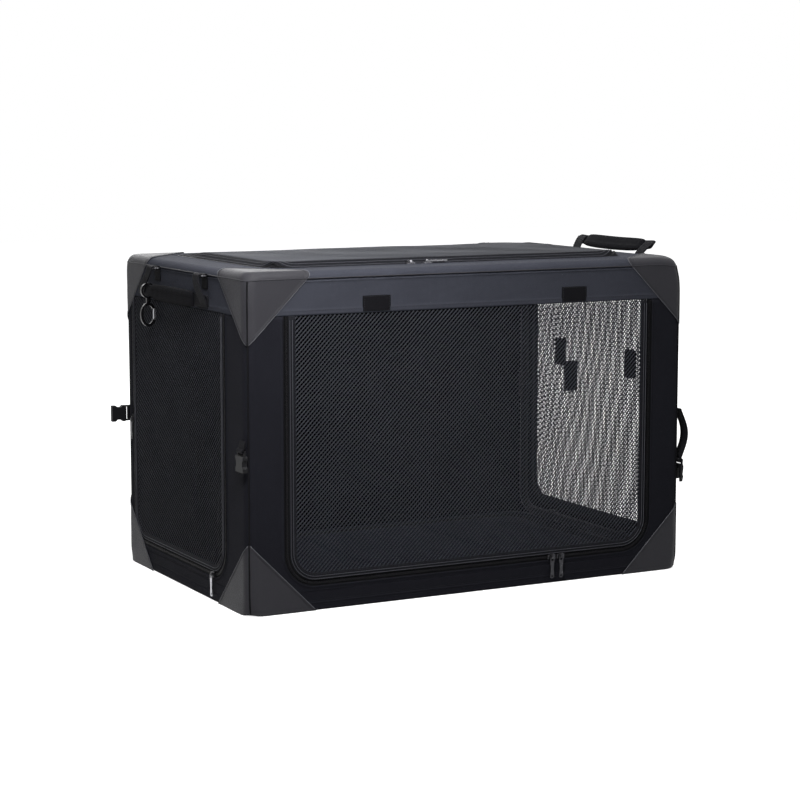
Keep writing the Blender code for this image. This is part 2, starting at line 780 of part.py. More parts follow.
def floor_mat(surfaces, carrier):
    """Thin padded mat: crowned, drawn in along its sides, with two sewn channels."""
    half_x = LENGTH / 2 - MAT_CLEAR_X
    half_y = WIDTH / 2 - MAT_CLEAR_Y
    columns, rows = MAT_CELLS
    low_z = FLOOR_THICKNESS + GAP
    bm = bmesh.new()
    top = []
    for j in range(rows + 1):
        v = 2 * j / rows - 1
        line = []
        for i in range(columns + 1):
            u = 2 * i / columns - 1
            x = (half_x - MAT_DRAWN_IN * (1 - v * v)) * u
            y = (half_y - MAT_DRAWN_IN * (1 - u * u)) * v
            puff = math.sqrt((1 - u ** 4) * (1 - v ** 4))
            away = (abs(u) - MAT_CHANNEL_PLACE) * MAT_CHANNEL_SHARPNESS
            rise = MAT_THICKNESS - MAT_EDGE - MAT_CHANNEL * math.exp(-away ** 2)
            line.append(bm.verts.new((x, y, low_z + MAT_EDGE + rise * puff)))
        top.append(line)
    for j in range(rows):
        for i in range(columns):
            bm.faces.new((top[j][i], top[j][i + 1], top[j + 1][i + 1], top[j + 1][i]))
    rim = net_outline(top, [([], [])] * rows)
    under = [bm.verts.new((vert.co.x, vert.co.y, low_z)) for vert in rim]
    bm.faces.new(under)
    net_edge(bm, [rim, under])
    finish("floor_mat", bm, surfaces["mat"], carrier)


def tube_loop(name, z, upper, surfaces, carrier):
    """Rectangular tube loop with bent corners, and the clips for the end frames."""
    outline = rounded_outline(END_X, RAIL_Y, TUBE_BEND, BEND_STEPS)
    loop = tube(name, [(x, y, z) for x, y in outline], surfaces["steel"], carrier, closed=True)
    boolean(loop, clips(name + "_clips", z, upper, carrier), "UNION")


def u_frame(name, side, upper, surfaces, carrier):
    """Folding U frame: a cross bar at its pivot, a leg to each knee and the knuckles."""
    leg = KNEE_Z - LOW_PIVOT_Z - KNUCKLE_HEIGHT + KNUCKLE_SOCKET
    path = [(-LEG_Y, leg)]
    path += arc(-LEG_Y + TUBE_BEND, TUBE_BEND, TUBE_BEND, 180, 270, BEND_STEPS)
    path += arc(LEG_Y - TUBE_BEND, TUBE_BEND, TUBE_BEND, 270, 360, BEND_STEPS)
    path.append((LEG_Y, leg))
    if upper:
        points = [(side * END_X, y, HIGH_PIVOT_Z - z) for y, z in path]
    else:
        points = [(side * END_X, y, LOW_PIVOT_Z + z) for y, z in path]
    frame = tube(name, points, surfaces["steel"], carrier)
    mesh = upper_knuckle() if upper else lower_knuckle()
    pair = bmesh.new()
    for y in (-LEG_Y, LEG_Y):
        add_copy(pair, mesh, knee_place(side, y, upper))
    boolean(frame, hidden_guide(name + "_knuckles", pair, carrier), "UNION")


def ear_outline(holed):
    """Ear that holds the pin outside the block's face, with or without the pin's hole."""
    ring = arc(KNEE_OFFSET, 0, EAR_RADIUS, EAR_LOW_ANGLE, EAR_HIGH_ANGLE, EAR_STEPS)
    root = KNUCKLE_FACE - EAR_ROOT
    outline = ring + [(root, -EAR_RADIUS / 2), (root, -EAR_REACH)]
    if holed:
        return [outline, circle(KNEE_OFFSET, 0, PIN_RADIUS + TURNING_GAP, SMALL_SIDES)]
    return [outline]


def knuckle_block():
    """Square knuckle below a knee, around the end of its leg.

    Local X points out of the crate, local Y up and local Z along the pin.
    """
    block = bmesh.new()
    outline = [(-KNUCKLE_HALF, -KNUCKLE_HEIGHT), (KNUCKLE_FACE, -KNUCKLE_HEIGHT),
               (KNUCKLE_FACE, -GAP / 2), (-KNUCKLE_HALF, -GAP / 2)]
    prism(block, [outline], 2 * KNUCKLE_HALF, Matrix.Translation((0, 0, -KNUCKLE_HALF)))
    return block


def lower_knuckle():
    """Knuckle with two outer ears and the riveted pin through them."""
    bodies = [knuckle_block(), knee_pin()]
    outer = KNUCKLE_HALF + EAR_STEP
    for start in (-outer, outer - EAR_THICKNESS):
        ear = bmesh.new()
        prism(ear, ear_outline(False), EAR_THICKNESS, Matrix.Translation((0, 0, start)))
        bodies.append(ear)
    return fused(bodies)


def upper_knuckle():
    """Knuckle with the centre ear that turns on the pin."""
    reach = KNUCKLE_HALF + EAR_STEP - EAR_THICKNESS - GAP
    ear = bmesh.new()
    prism(ear, ear_outline(True), 2 * reach, Matrix.Translation((0, 0, -reach)))
    return fused([knuckle_block(), ear])


def knee_pin():
    """Riveted knee pin with a head at each end, along local Z."""
    reach = KNUCKLE_HALF + EAR_STEP / 2
    stations = [(PIN_HEAD, -reach - PIN_HEAD_THICKNESS), (PIN_HEAD, -reach), (PIN_RADIUS, -reach),
                (PIN_RADIUS, reach), (PIN_HEAD, reach), (PIN_HEAD, reach + PIN_HEAD_THICKNESS)]
    rings = []
    for radius, z in stations:
        rings.append([Vector((x, y, z)) for x, y in circle(KNEE_OFFSET, 0, radius, SMALL_SIDES)])
    bm = bmesh.new()
    loft(bm, rings)
    return bm


def closed_mesh(name, bm):
    """Mesh data with its faces turned outward, to be copied into place."""
    bmesh.ops.recalc_face_normals(bm, faces=bm.faces)
    mesh = bpy.data.meshes.new(name)
    bm.to_mesh(mesh)
    bm.free()
    return mesh


def knee_place(side, y, upper):
    """Local frame of a knuckle: X out of the crate, Y towards the knee from its leg."""
    return facing((side * END_X, y, KNEE_Z), (side, 0, 0), (0, 0, -1 if upper else 1))


def clip_outline():
    """Saddle clip seen along the tubes: jaws over the rail at the origin, a ring above."""
    half = TUBE_RADIUS + CLIP_WALL
    outline = [(half, -CLIP_JAW)]
    outline += arc(0, PIVOT_RISE, half, 0, 180, CLIP_STEPS)
    outline.append((-half, -CLIP_JAW))
    return [outline, circle(0, PIVOT_RISE, TUBE_RADIUS + TURNING_GAP, CLIP_SIDES)]


def clips(name, z, upper, carrier):
    """Four saddle clips that hold the end frames' cross bars on a tube loop."""
    bm = bmesh.new()
    up = -1 if upper else 1
    for side in (LEFT, RIGHT):
        for y in (-CLIP_SPREAD, CLIP_SPREAD):
            place = (side * END_X, y + up * CLIP_WIDTH / 2, z)
            prism(bm, clip_outline(), CLIP_WIDTH, facing(place, (1, 0, 0), (0, 0, up)))
    return hidden_guide(name, bm, carrier)


def slider_mesh(across):
    """Zip slider: a waisted top plate and the arch that holds the pull's bar.

    Local X runs along the pull's bar, local Z out of the fabric. The zip runs along
    local X when the slider lies across its pull, and otherwise along local Y.
    """
    half = SLIDER_LENGTH / 2
    wide = SLIDER_WIDTH / 2
    near = [(-half, wide * SLIDER_NOSE), (-half * SLIDER_WAIST_PLACE, wide * SLIDER_WAIST),
            (half * SLIDER_SHOULDER_PLACE, wide), (half, wide * SLIDER_HEEL)]
    outline = [(x, -y) for x, y in near] + near[::-1]
    turn = Matrix.Identity(4) if across else Matrix.Rotation(math.pi / 2, 4, "Z")
    plate = bmesh.new()
    prism(plate, [outline], SLIDER_PLATE, turn)
    arch = bmesh.new()
    reach = ARCH_LENGTH / 2
    profile = [(-reach, SLIDER_PLATE / 2), (reach, SLIDER_PLATE / 2)]
    profile += arc(0, ARCH_HEIGHT - reach, reach, 0, 180, PULL_STEPS)
    hole = circle(0, PULL_PIN_RISE, PULL_THICKNESS * ARCH_HOLE_SHARE, PULL_SIDES)
    prism(arch, [profile, hole], ARCH_WIDTH, facing((-ARCH_WIDTH / 2, 0, 0), (0, 1, 0), (0, 0, 1)))
    return fused([plate, arch])


def pull_mesh():
    """Pull tab: a plate that tapers to a slot, whose bar passes through the arch."""
    half = PULL_WIDTH / 2
    bar = PULL_THICKNESS / 2
    slot_half = ARCH_WIDTH / 2 + TURNING_GAP
    slot_low = -ARCH_LENGTH - TURNING_GAP
    right = [(half * PULL_WAIST, -PULL_LENGTH * PULL_WAIST_PLACE), (half, slot_low),
             (slot_half + PULL_THICKNESS, bar)]
    outline = [(-x, y) for x, y in right[::-1]]
    outline += arc(0, -PULL_LENGTH + half, half, 180, 360, PULL_STEPS) + right
    slot = [(-slot_half, -bar), (slot_half, -bar), (slot_half, slot_low), (-slot_half, slot_low)]
    grip_hole = circle(0, -PULL_LENGTH + half, half * PULL_HOLE_SHARE, PULL_SIDES)
    bm = bmesh.new()
    prism(bm, [outline, slot, grip_hole], PULL_THICKNESS, Matrix.Translation((0, 0, -bar)))
    return closed_mesh("pull", bm)


def add_slider(word, place, across, up, meshes, surfaces, carrier):
    """One slider with its pull, seated on the zip at a place on the skin."""
    slider = place_mesh(word + "_slider", meshes[0], surfaces["gunmetal"], carrier,
                        facing(Vector(place) - world_place(carrier), across, up))
    pull = place_mesh(word + "_pull", meshes[1], surfaces["gunmetal"], slider)
    pull.location = (0, 0, PULL_PIN_RISE)


def all_sliders(surfaces, bodies):
    """Two sliders with their pulls on each zip, at rest where the doors are closed."""
    pull = pull_mesh()
    level = (slider_mesh(True), pull)
    turned = (slider_mesh(False), pull)
    line = DOOR_SILL + ZIP_WIDTH / 2
    for word, x in (("front_left", FRONT_SLIDER_X), ("front_right", FRONT_SLIDER_X + SLIDER_PAIR)):
        add_slider(word, (x, -SKIN_Y - GAP, line), (1, 0, 0), (0, 0, 1), level, surfaces,
                   bodies["front_door"])
    add_slider("left_low", (-SKIN_X - GAP, LEFT_LOW_SLIDER_Y, line), (0, -1, 0), (0, 0, 1), level,
               surfaces, bodies["left_door"])
    back_line = END_BACK - ZIP_WIDTH / 2
    add_slider("left_back", (-SKIN_X - GAP, back_line, LEFT_BACK_SLIDER_Z), (0, -1, 0), (0, 0, 1),
               turned, surfaces, bodies["left_door"])
    apart = SLIDER_PAIR / 2
    for word, y in (("right_front", END_MIDDLE - apart), ("right_back", END_MIDDLE + apart)):
        add_slider(word, (SKIN_X + GAP, y, line), (0, 1, 0), (0, 0, 1), level, surfaces,
                   bodies["right_door"])
    line = HATCH_FRONT + ZIP_WIDTH / 2
    add_slider("top_left", (TOP_SLIDER_X, line, SKIN_TOP + GAP), (-1, 0, 0), (0, -1, 0), level, surfaces,
               bodies["top_door"])
    add_slider("top_right", (TOP_SLIDER_X + TOP_SLIDER_PAIR, line, SKIN_TOP + GAP), (0, 1, 0), (-1, 0, 0),
               turned, surfaces, bodies["top_door"])


def webbing_eye(tail, taper):
    """Webbing folded round a bar at the origin, its tail going down on the +X side.

    The tail may taper from both faces, where it runs into webbing of its own thickness.
    """
    outer = arc(0, 0, EYE_OUTER, 0, EYE_WRAP_ANGLE, EYE_STEPS)
    inner = arc(0, 0, EYE_INNER, EYE_WRAP_ANGLE, 0, EYE_STEPS)
    return [(EYE_OUTER - taper, -tail), *outer, *inner, (EYE_INNER + taper, -tail)]


def handle_anchors(carrier):
    """Webbing tabs sewn to the ends of the band, folded round the rings' inner bars."""
    bm = bmesh.new()
    for side in (LEFT, RIGHT):
        for y in (-ANCHOR_SPREAD, ANCHOR_SPREAD):
            place = (side * INNER_BAR, y - side * ANCHOR_WIDTH / 2, HANDLE_Z)
            prism(bm, [webbing_eye(ANCHOR_TAIL, 0)], ANCHOR_WIDTH, facing(place, (-side, 0, 0), (0, 0, 1)))
    return hidden_guide("handle_anchors", bm, carrier)


def handle_rings(surfaces, carrier):
    """Four rectangular wire rings between the anchors and the handles."""
    for end, side in (("left", LEFT), ("right", RIGHT)):
        for part, y in (("front", -ANCHOR_SPREAD), ("back", ANCHOR_SPREAD)):
            bm = bmesh.new()
            wire_ring(bm, Vector((side * (INNER_BAR + HANDLE_X) / 2, y, HANDLE_Z)), RING_REACH / 2, RING_HALF)
            finish(end + "_" + part + "_ring", bm, surfaces["gunmetal"], carrier)


def wire_ring(bm, middle, half_x, half_y):
    """Rectangular ring of round wire, level, with round corners."""
    path = [Vector((x, y, 0)) for x, y in rounded_outline(half_x, half_y, 2 * RING_RADIUS, 2)]
    rings = []
    for i, point in enumerate(path):
        along = (path[(i + 1) % len(path)] - path[i - 1]).normalized()
        aside = along.cross(Vector((0, 0, 1)))
        ring = []
        for c, s in circle(0, 0, RING_RADIUS, RING_SIDES):
            ring.append(middle + point + aside * c + Vector((0, 0, s)))
        rings.append(ring)
    loft(bm, rings, closed=True)


def handle_outline():
    """Webbing of a handle in its own plane: two slanted arms and the bar between."""
    half = HANDLE_STRAP / 2
    wide = ANCHOR_SPREAD + ANCHOR_WIDTH / 2
    outer = [(wide, -EYE_OUTER), (HANDLE_SPREAD, -HANDLE_REACH + half)]
    outer += arc(HANDLE_SPREAD - half, -HANDLE_REACH, half, 0, -90, CORNER_STEPS)
    inner = [(HANDLE_SPREAD - HANDLE_STRAP - HANDLE_LEAN, -HANDLE_REACH + half),
             (wide - ANCHOR_WIDTH, -EYE_OUTER)]
    left = [(-x, y) for x, y in reversed(outer)] + [(-x, y) for x, y in reversed(inner)]
    return outer + left + inner


def handle_mesh():
    """Webbing of one handle. Local X is the hinge, Y points up, Z out of the crate."""
    frame = bmesh.new()
    prism(frame, [handle_outline()], WEBBING, Matrix.Translation((0, 0, EYE_INNER)))
    bodies = [frame]
    for x in (-ANCHOR_SPREAD, ANCHOR_SPREAD):
        eye = bmesh.new()
        prism(eye, [webbing_eye(2 * EYE_OUTER, SEWN_IN)], ANCHOR_WIDTH,
              facing((x + ANCHOR_WIDTH / 2, 0, 0), (0, 0, 1), (0, 1, 0)))
        bodies.append(eye)
    return fused(bodies)


def grip_mesh():
    """Padded grip round the handle's bar, with a flat tunnel for the webbing."""
    tunnel_y = HANDLE_STRAP / 2 + GAP
    tunnel_z = WEBBING / 2 + GAP
    outer, inner = [], []
    for i in range(GRIP_STATIONS + 1):
        share = 2 * i / GRIP_STATIONS - 1
        swell = math.sqrt(1 - abs(share) ** 3)
        half_y = tunnel_y + GRIP_LIP + (GRIP_HALF_WIDTH - tunnel_y - GRIP_LIP) * swell
        half_z = tunnel_z + GRIP_LIP + (GRIP_HALF_DEPTH - tunnel_z - GRIP_LIP) * swell
        x = share * GRIP_LENGTH / 2
        section = squared_circle(GRIP_SIDES, GRIP_SQUARENESS, 1)
        tunnel = squared_circle(GRIP_SIDES, 1, math.sqrt(2))
        outer.append([Vector((x, half_y * c, half_z * s)) for c, s in section])
        inner.append([Vector((x, tunnel_y * c, tunnel_z * s)) for c, s in tunnel])
    bm = bmesh.new()
    loft(bm, outer + inner[::-1], closed=True)
    bmesh.ops.translate(bm, verts=bm.verts, vec=(0, -HANDLE_REACH, STRAP_OFFSET))
    return closed_mesh("grip", bm)


def squared_circle(steps, power, stretch):
    """Unit circle made squarer by a power, and clipped to the unit square when stretched."""
    points = []
    for k in range(steps):
        angle = math.tau * (k + 0.5) / steps
        pair = []
        for value in (math.cos(angle), math.sin(angle)):
            pair.append(math.copysign(min(1.0, stretch * abs(value) ** power), value))
        points.append(tuple(pair))
    return points


def handle(word, side, angle, surfaces, carrier):
    """One carrying handle, hanging at angle zero and swung outward by an angle."""
    turn = facing((0, 0, 0), (0, side, 0), (0, 0, 1)) @ Matrix.Rotation(-angle, 4, "X")
    place_mesh(word + "_handle_strap", handle_mesh(), surfaces["webbing"], carrier, turn)
    place_mesh(word + "_handle_grip", grip_mesh(), surfaces["grip"], carrier, turn)


def hook_loop():
    """Open oval of the snap hook, from the top of its gate round to the bottom."""
    start = 180 - HOOK_NOSE_ANGLE
    end = -180 + HOOK_HINGE_ANGLE
    outline = []
    for inset, first, last in ((0, start, end), (HOOK_WIRE, end, start)):
        for i in range(HOOK_STEPS + 1):
            angle = math.radians(first + (last - first) * i / HOOK_STEPS)
            outline.append(((HOOK_HALF_WIDTH - inset) * math.cos(angle),
                            -HOOK_CENTRE + (HOOK_HALF_HEIGHT - inset) * math.sin(angle)))
    return outline


def snap_hook(surfaces, hook_carrier, gate_carrier):
    """Snap hook on the left handle's webbing: eye, neck, oval hook and its gate."""
    eye = bmesh.new()
    slab(eye, [circle(0, 0, HOOK_EYE_OUTER), circle(0, 0, HOOK_EYE_INNER)], HOOK_THICKNESS)
    half = HOOK_NECK_HALF
    top = -(HOOK_EYE_INNER + HOOK_EYE_OUTER) / 2
    low = -HOOK_CENTRE + HOOK_HALF_HEIGHT - HOOK_WIRE / 2
    neck = bmesh.new()
    slab(neck, [[(-half, top), (-half, low), (half, low), (half, top)]], HOOK_NECK_THICKNESS)
    oval = bmesh.new()
    slab(oval, [hook_loop()], HOOK_LOOP_THICKNESS)
    place = facing((-HOOK_X, HOOK_POSITION, HOOK_Z), (-1, 0, 0), (0, 0, 1))
    body = bmesh.new()
    add_copy(body, fused([eye, neck, oval]), place)
    finish("snap_hook", body, surfaces["gunmetal"], hook_carrier)
    gate = bmesh.new()
    slab(gate, [gate_outline()], GATE_THICKNESS, place)
    finish("snap_hook_gate", gate, surfaces["bright"], gate_carrier)


def slab(bm, loops, thickness, matrix=Matrix.Identity(4)):
    """Flat body with its mid plane at local Z 0."""
    prism(bm, loops, thickness, matrix @ Matrix.Translation((0, 0, -thickness / 2)))


def gate_pivot():
    """Centre of the gate's lower end, just clear of the end of the open oval."""
    angle = math.radians(180 + HOOK_HINGE_ANGLE)
    away = GATE_HALF + GAP
    x = (HOOK_HALF_WIDTH - HOOK_WIRE / 2) * math.cos(angle) + away * math.sin(angle)
    y = (HOOK_HALF_HEIGHT - HOOK_WIRE / 2) * math.sin(angle) - away * math.cos(angle)
    return x, y - HOOK_CENTRE


def gate_outline():
    """Gate bar with round ends, between the two ends of the open oval."""
    x, low = gate_pivot()
    high = -2 * HOOK_CENTRE - low
    return arc(x, low, GATE_HALF, 180, 360, GATE_STEPS) + arc(x, high, GATE_HALF, 0, 180, GATE_STEPS)


def strap_profile(length, reach, bulge):
    """Doubled webbing seen from its edge, ending in an eye round the buckle's bar.

    X is the distance from the skin and Y points up. The centre line leaves the skin,
    bulges by a sine and meets the eye's centre at its own distance from the skin.
    """
    half = TAB_THICKNESS / 2
    start = GAP + half
    steps = BULGE_STEPS if bulge else 1
    centre = []
    for i in range(steps + 1):
        share = i / steps
        offset = start + (reach - start) * share + bulge * math.sin(math.pi * share) ** TAB_BULGE_POWER
        centre.append((offset, -share * (length - TAB_EYE_OUTER * TAB_LAP_IN)))
    near = [(x - half, y) for x, y in centre]
    far = [(x + half, y) for x, y in centre]
    lap = math.degrees(math.acos(half / TAB_EYE_OUTER))
    eye = arc(reach, -length, TAB_EYE_OUTER, 180 - lap, 360 + lap, TAB_EYE_STEPS)
    return [near + eye + far[::-1], circle(reach, -length, TAB_EYE_INNER, CLIP_SIDES)]


def buckle_mesh(shape, thickness):
    """Half of a side-release buckle: a thin frame with its bar, and the thick part below.

    The bar's centre is the origin, Y points up and Z out of the crate.
    """
    half = BUCKLE_WIDTH / 2
    slot_half = TAB_WIDTH / 2 + TURNING_GAP
    bar = BUCKLE_BAR / 2
    low = -bar - BUCKLE_SLOT
    frame = bmesh.new()
    outline = [(-half, bar), (-half, low - 2 * BUCKLE_BAR), (half, low - 2 * BUCKLE_BAR), (half, bar)]
    slot = [(-slot_half, -bar), (slot_half, -bar), (slot_half, low), (-slot_half, low)]
    prism(frame, [outline, slot], BUCKLE_BAR, Matrix.Translation((0, 0, -bar)))
    thick = bmesh.new()
    prism(thick, [shape(low - BUCKLE_BAR / 2)], thickness, Matrix.Translation((0, 0, -thickness / 2)))
    return fused([frame, thick])


def socket_shape(top):
    """Socket of the buckle, waisted at the side windows where it is pressed."""
    half = BUCKLE_WIDTH / 2 + GAP
    low = BUCKLE_BAR / 2 - BUCKLE_LENGTH
    waist = SOCKET_WAIST_HALF
    right = [(BUCKLE_TOP_HALF, top), (half, top - BUCKLE_CORNER), (half, top - SOCKET_WINDOW_START),
             (waist, top - SOCKET_WINDOW_END), (waist, low + SOCKET_WINDOW_END),
             (half, low + SOCKET_WINDOW_START), (half, low)]
    return right + [(-x, y) for x, y in reversed(right)]


def prong_shape(top):
    """Base, guide and two barbed arms that snap into the socket."""
    half = BUCKLE_WIDTH / 2 + GAP
    base = top - PRONG_BASE
    tip = base - PRONG_LENGTH
    right = [(BUCKLE_TOP_HALF, top), (half, top - BUCKLE_CORNER), (half, base),
             (PRONG_NECK_HALF, base - PRONG_BARB_START), (half, base - PRONG_BARB_END),
             (PRONG_TIP_HALF, tip), (PRONG_INNER_TIP, tip), (PRONG_INNER_ROOT, base),
             (GUIDE_ROOT_HALF, base), (GUIDE_TIP_HALF, tip + GUIDE_SHORTER)]
    return right + [(-x, y) for x, y in reversed(right)]


def tab(word, matrix, length, reach, bulge, buckle, surfaces, carrier, buckle_carrier):
    """Webbing tab sewn to the skin, with half of a buckle in its eye."""
    strap = bmesh.new()
    sideways = facing((TAB_WIDTH / 2, 0, 0), (0, 0, 1), (0, 1, 0))
    prism(strap, strap_profile(length, reach, bulge), TAB_WIDTH, matrix @ sideways)
    finish(word + "_tab_strap", strap, surfaces["webbing"], carrier)
    hung = bmesh.new()
    add_copy(hung, buckle, matrix @ Matrix.Translation((0, -length, reach)))
    finish(word + "_tab_buckle", hung, surfaces["buckle"], buckle_carrier)


def strap_tabs(surfaces, bodies):
    """The four buckle tabs at mid height: short on the left, long on the right."""
    socket = buckle_mesh(socket_shape, SOCKET_THICKNESS)
    prong = buckle_mesh(prong_shape, PRONG_THICKNESS)
    places = {
        "front_left": facing((-SKIN_X, -TAB_Y, TAB_HEIGHT), (0, -1, 0), (0, 0, 1)),
        "back_left": facing((-SKIN_X + SIDE_TAB_INSET, SKIN_Y, SIDE_TAB_HEIGHT), (0, 0, 1), (1, 0, 0)),
        "front_right": facing((SKIN_X, -TAB_Y, TAB_HEIGHT), (0, 1, 0), (0, 0, 1)),
        "back_right": facing((SKIN_X, TAB_Y, TAB_HEIGHT), (0, 1, 0), (0, 0, 1)),
    }
    for word, side, _ in CORNERS:
        carrier = bodies[word + "_tab"]
        if side == LEFT:
            tab(word, places[word], TAB_SHORT, SHORT_TAB_REACH, 0, socket, surfaces, carrier, carrier)
        else:
            tab(word, places[word], TAB_LONG, LONG_TAB_REACH, TAB_BULGE, prong, surfaces, carrier,
                bodies[word + "_buckle"])


def make_bodies():
    """Empties on the joints' axes, each hung on the body that carries it."""
    base = empty("base", (0, 0, 0))
    bodies = {"base": base}
    knee_x = END_X + KNEE_OFFSET
    for word, side in (("left", LEFT), ("right", RIGHT)):
        lower = empty(word + "_lower", (side * END_X, 0, LOW_PIVOT_Z), base)
        bodies[word + "_lower"] = lower
        bodies[word + "_upper"] = empty(word + "_upper", (side * knee_x, 0, KNEE_Z), lower)
    top = empty("top", (-END_X, 0, HIGH_PIVOT_Z), bodies["left_upper"])
    bodies["top"] = top
    bodies["front_door"] = empty("front_door_hinge", (0, -SKIN_Y, DOOR_TOP), base)
    bodies["left_door"] = empty("left_door_hinge", (-SKIN_X, 0, DOOR_TOP), base)
    bodies["right_door"] = empty("right_door_hinge", (SKIN_X, 0, DOOR_TOP), base)
    bodies["top_door"] = empty("top_door_hinge", (0, HATCH_BACK, SKIN_TOP), top)
    bodies["left_handle"] = empty("left_handle", (-HANDLE_X, 0, HANDLE_Z), top)
    bodies["right_handle"] = empty("right_handle", (HANDLE_X, 0, HANDLE_Z), top)
    bodies["hook"] = empty("hook", (-HOOK_X, HOOK_POSITION, HOOK_Z), bodies["left_handle"])
    gate_x, gate_y = gate_pivot()
    bodies["gate"] = empty("gate", (-HOOK_X - gate_x, HOOK_POSITION, HOOK_Z + gate_y), bodies["hook"])
    for word, side_x, side_y in CORNERS:
        tab_body = empty(word + "_tab", (side_x * SKIN_X, side_y * TAB_Y, TAB_HEIGHT), base)
        bodies[word + "_tab"] = tab_body
        if side_x == RIGHT:
            bar = (SKIN_X + LONG_TAB_REACH, side_y * TAB_Y, TAB_HEIGHT - TAB_LONG)
            bodies[word + "_buckle"] = empty(word + "_buckle", bar, tab_body)
    return bodies


def build():
    """The whole crate."""
    for old in list(bpy.data.objects):
        bpy.data.objects.remove(old)
    surfaces = make_materials()
    bodies = make_bodies()
    base = bodies["base"]
    top = bodies["top"]
    base_tray(surfaces, base)
    tube_loop("base_frame", BASE_RAIL_Z, False, surfaces, base)
    floor_mat(surfaces, base)
    front_wall(surfaces, base)
    long_wall("back_wall", BACK, surfaces, base)
    corner_wraps("lower", lower_wrap_shell, 0, 1, surfaces, base)
    top_cover(surfaces, top)
    tube_loop("top_frame", TOP_RAIL_Z, True, surfaces, top)
    corner_wraps("upper", upper_wrap_shell, HEIGHT, -1, surfaces, top)
    handle_rings(surfaces, top)
    hatch(surfaces, bodies["top_door"])
    for word, side in (("left", LEFT), ("right", RIGHT)):
        end_wall(word + "_wall", side, surfaces, base)
        u_frame(word + "_lower_frame", side, False, surfaces, bodies[word + "_lower"])
        u_frame(word + "_upper_frame", side, True, surfaces, bodies[word + "_upper"])
        door(word + "_door", END_HALF, END_CELLS, end_facing(side, NET_THICKNESS), surfaces,
             bodies[word + "_door"])
    door("front_door", FRONT_HALF, FRONT_CELLS, facing((0, -SKIN_Y + NET_THICKNESS, 0), (1, 0, 0), (0, 0, 1)),
         surfaces, bodies["front_door"])
    all_sliders(surfaces, bodies)
    handle("left", LEFT, 0.0, surfaces, bodies["left_handle"])
    handle("right", RIGHT, RAISED_ANGLE, surfaces, bodies["right_handle"])
    snap_hook(surfaces, bodies["hook"], bodies["gate"])
    strap_tabs(surfaces, bodies)


build()
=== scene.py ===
"""Looks of the folding dog crate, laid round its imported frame.

The crate stands on its tray with every door zipped shut. Metres throughout, +Z up, the
long front facing -Y. The upright skins are drawn unrolled: s is the distance round the
crate from the middle of the front, going by the right end, and z is the height. The top
is drawn flat in x and y. A height above either skin is called out.
"""
import json
import math

import bmesh
import bpy
import numpy as np
from mathutils import Matrix, Vector


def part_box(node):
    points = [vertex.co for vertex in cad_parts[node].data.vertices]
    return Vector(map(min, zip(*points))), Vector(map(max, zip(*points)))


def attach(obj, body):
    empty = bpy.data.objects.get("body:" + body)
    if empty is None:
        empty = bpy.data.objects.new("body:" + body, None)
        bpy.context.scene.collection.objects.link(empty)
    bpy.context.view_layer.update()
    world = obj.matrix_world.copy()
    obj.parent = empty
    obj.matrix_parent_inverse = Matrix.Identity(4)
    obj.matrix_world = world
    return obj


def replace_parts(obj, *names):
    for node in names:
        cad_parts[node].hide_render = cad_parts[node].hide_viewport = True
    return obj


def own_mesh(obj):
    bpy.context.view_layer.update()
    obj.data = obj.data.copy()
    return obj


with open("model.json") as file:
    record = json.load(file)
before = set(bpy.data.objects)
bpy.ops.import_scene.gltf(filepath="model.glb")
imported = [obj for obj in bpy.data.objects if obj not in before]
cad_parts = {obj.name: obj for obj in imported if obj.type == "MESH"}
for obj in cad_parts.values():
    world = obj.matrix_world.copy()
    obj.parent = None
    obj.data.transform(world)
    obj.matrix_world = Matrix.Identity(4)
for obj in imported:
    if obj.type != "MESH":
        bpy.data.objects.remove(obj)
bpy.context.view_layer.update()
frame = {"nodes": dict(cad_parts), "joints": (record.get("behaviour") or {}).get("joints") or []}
joints = {joint["name"]: joint for joint in frame["joints"]}

# Places taken from the frame
tray_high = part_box("base_tray")[1]
cover_low, cover_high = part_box("top_cover")
wall_low, wall_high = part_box("front_wall")
mat_low, mat_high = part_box("floor_mat")
net_low, net_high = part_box("front_door")
end_net_low, end_net_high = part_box("left_door")
hatch_low, hatch_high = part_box("top_door")
wrap_low, wrap_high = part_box("front_right_upper_wrap")

SKIN_X = tray_high.x
SKIN_Y = tray_high.y
SKIN_TOP = cover_high.z
BAND_BOTTOM = cover_low.z
TRAY_TOP = tray_high.z
WALL_BOTTOM = wall_low.z
WALL_TOP = wall_high.z
HEIGHT = wrap_high.z
OUTER_X = wrap_high.x
OUTER_Y = -wrap_low.y

# Fabric shell. A pair of numbers for a corner says how much it is drawn in and how far
# round it. Waves are pairs of a height and a length.
CORNER = 0.016
EDGE = 0.012
HEM = 0.003
CLOTH = 0.003
LEATHER = 0.0012
LOOSE_CORNER = (0.0048, 0.028)
TIGHT_CORNER = (0.0026, 0.015)
WRAP_LEG = 0.112
WRAP_RADIUS = CORNER + OUTER_X - SKIN_X
SEAM_RISE = 0.012
TRAY_FLOOR = 0.006
PIPING = 0.0014
WRAP_TIP = 0.0037
WRAP_SEAM = 0.0038
HATCH_BACK_RADIUS = 0.002
LIP_INSETS = (0.0, 0.0004, 0.0008, 0.0014, 0.0022, 0.003, 0.004, 0.0052, 0.0064)
BORDER_SHARES = (0.05, 0.12, 0.2, 0.3, 0.4, 0.5, 0.6, 0.7, 0.78, 0.85, 0.9, 0.94, 0.97, 0.985, 1.0)
WALL_WAVES = ((0.0006, 0.16), (0.00025, 0.05))
BACK_WAVES = ((0.0009, 0.2), (0.0003, 0.06))

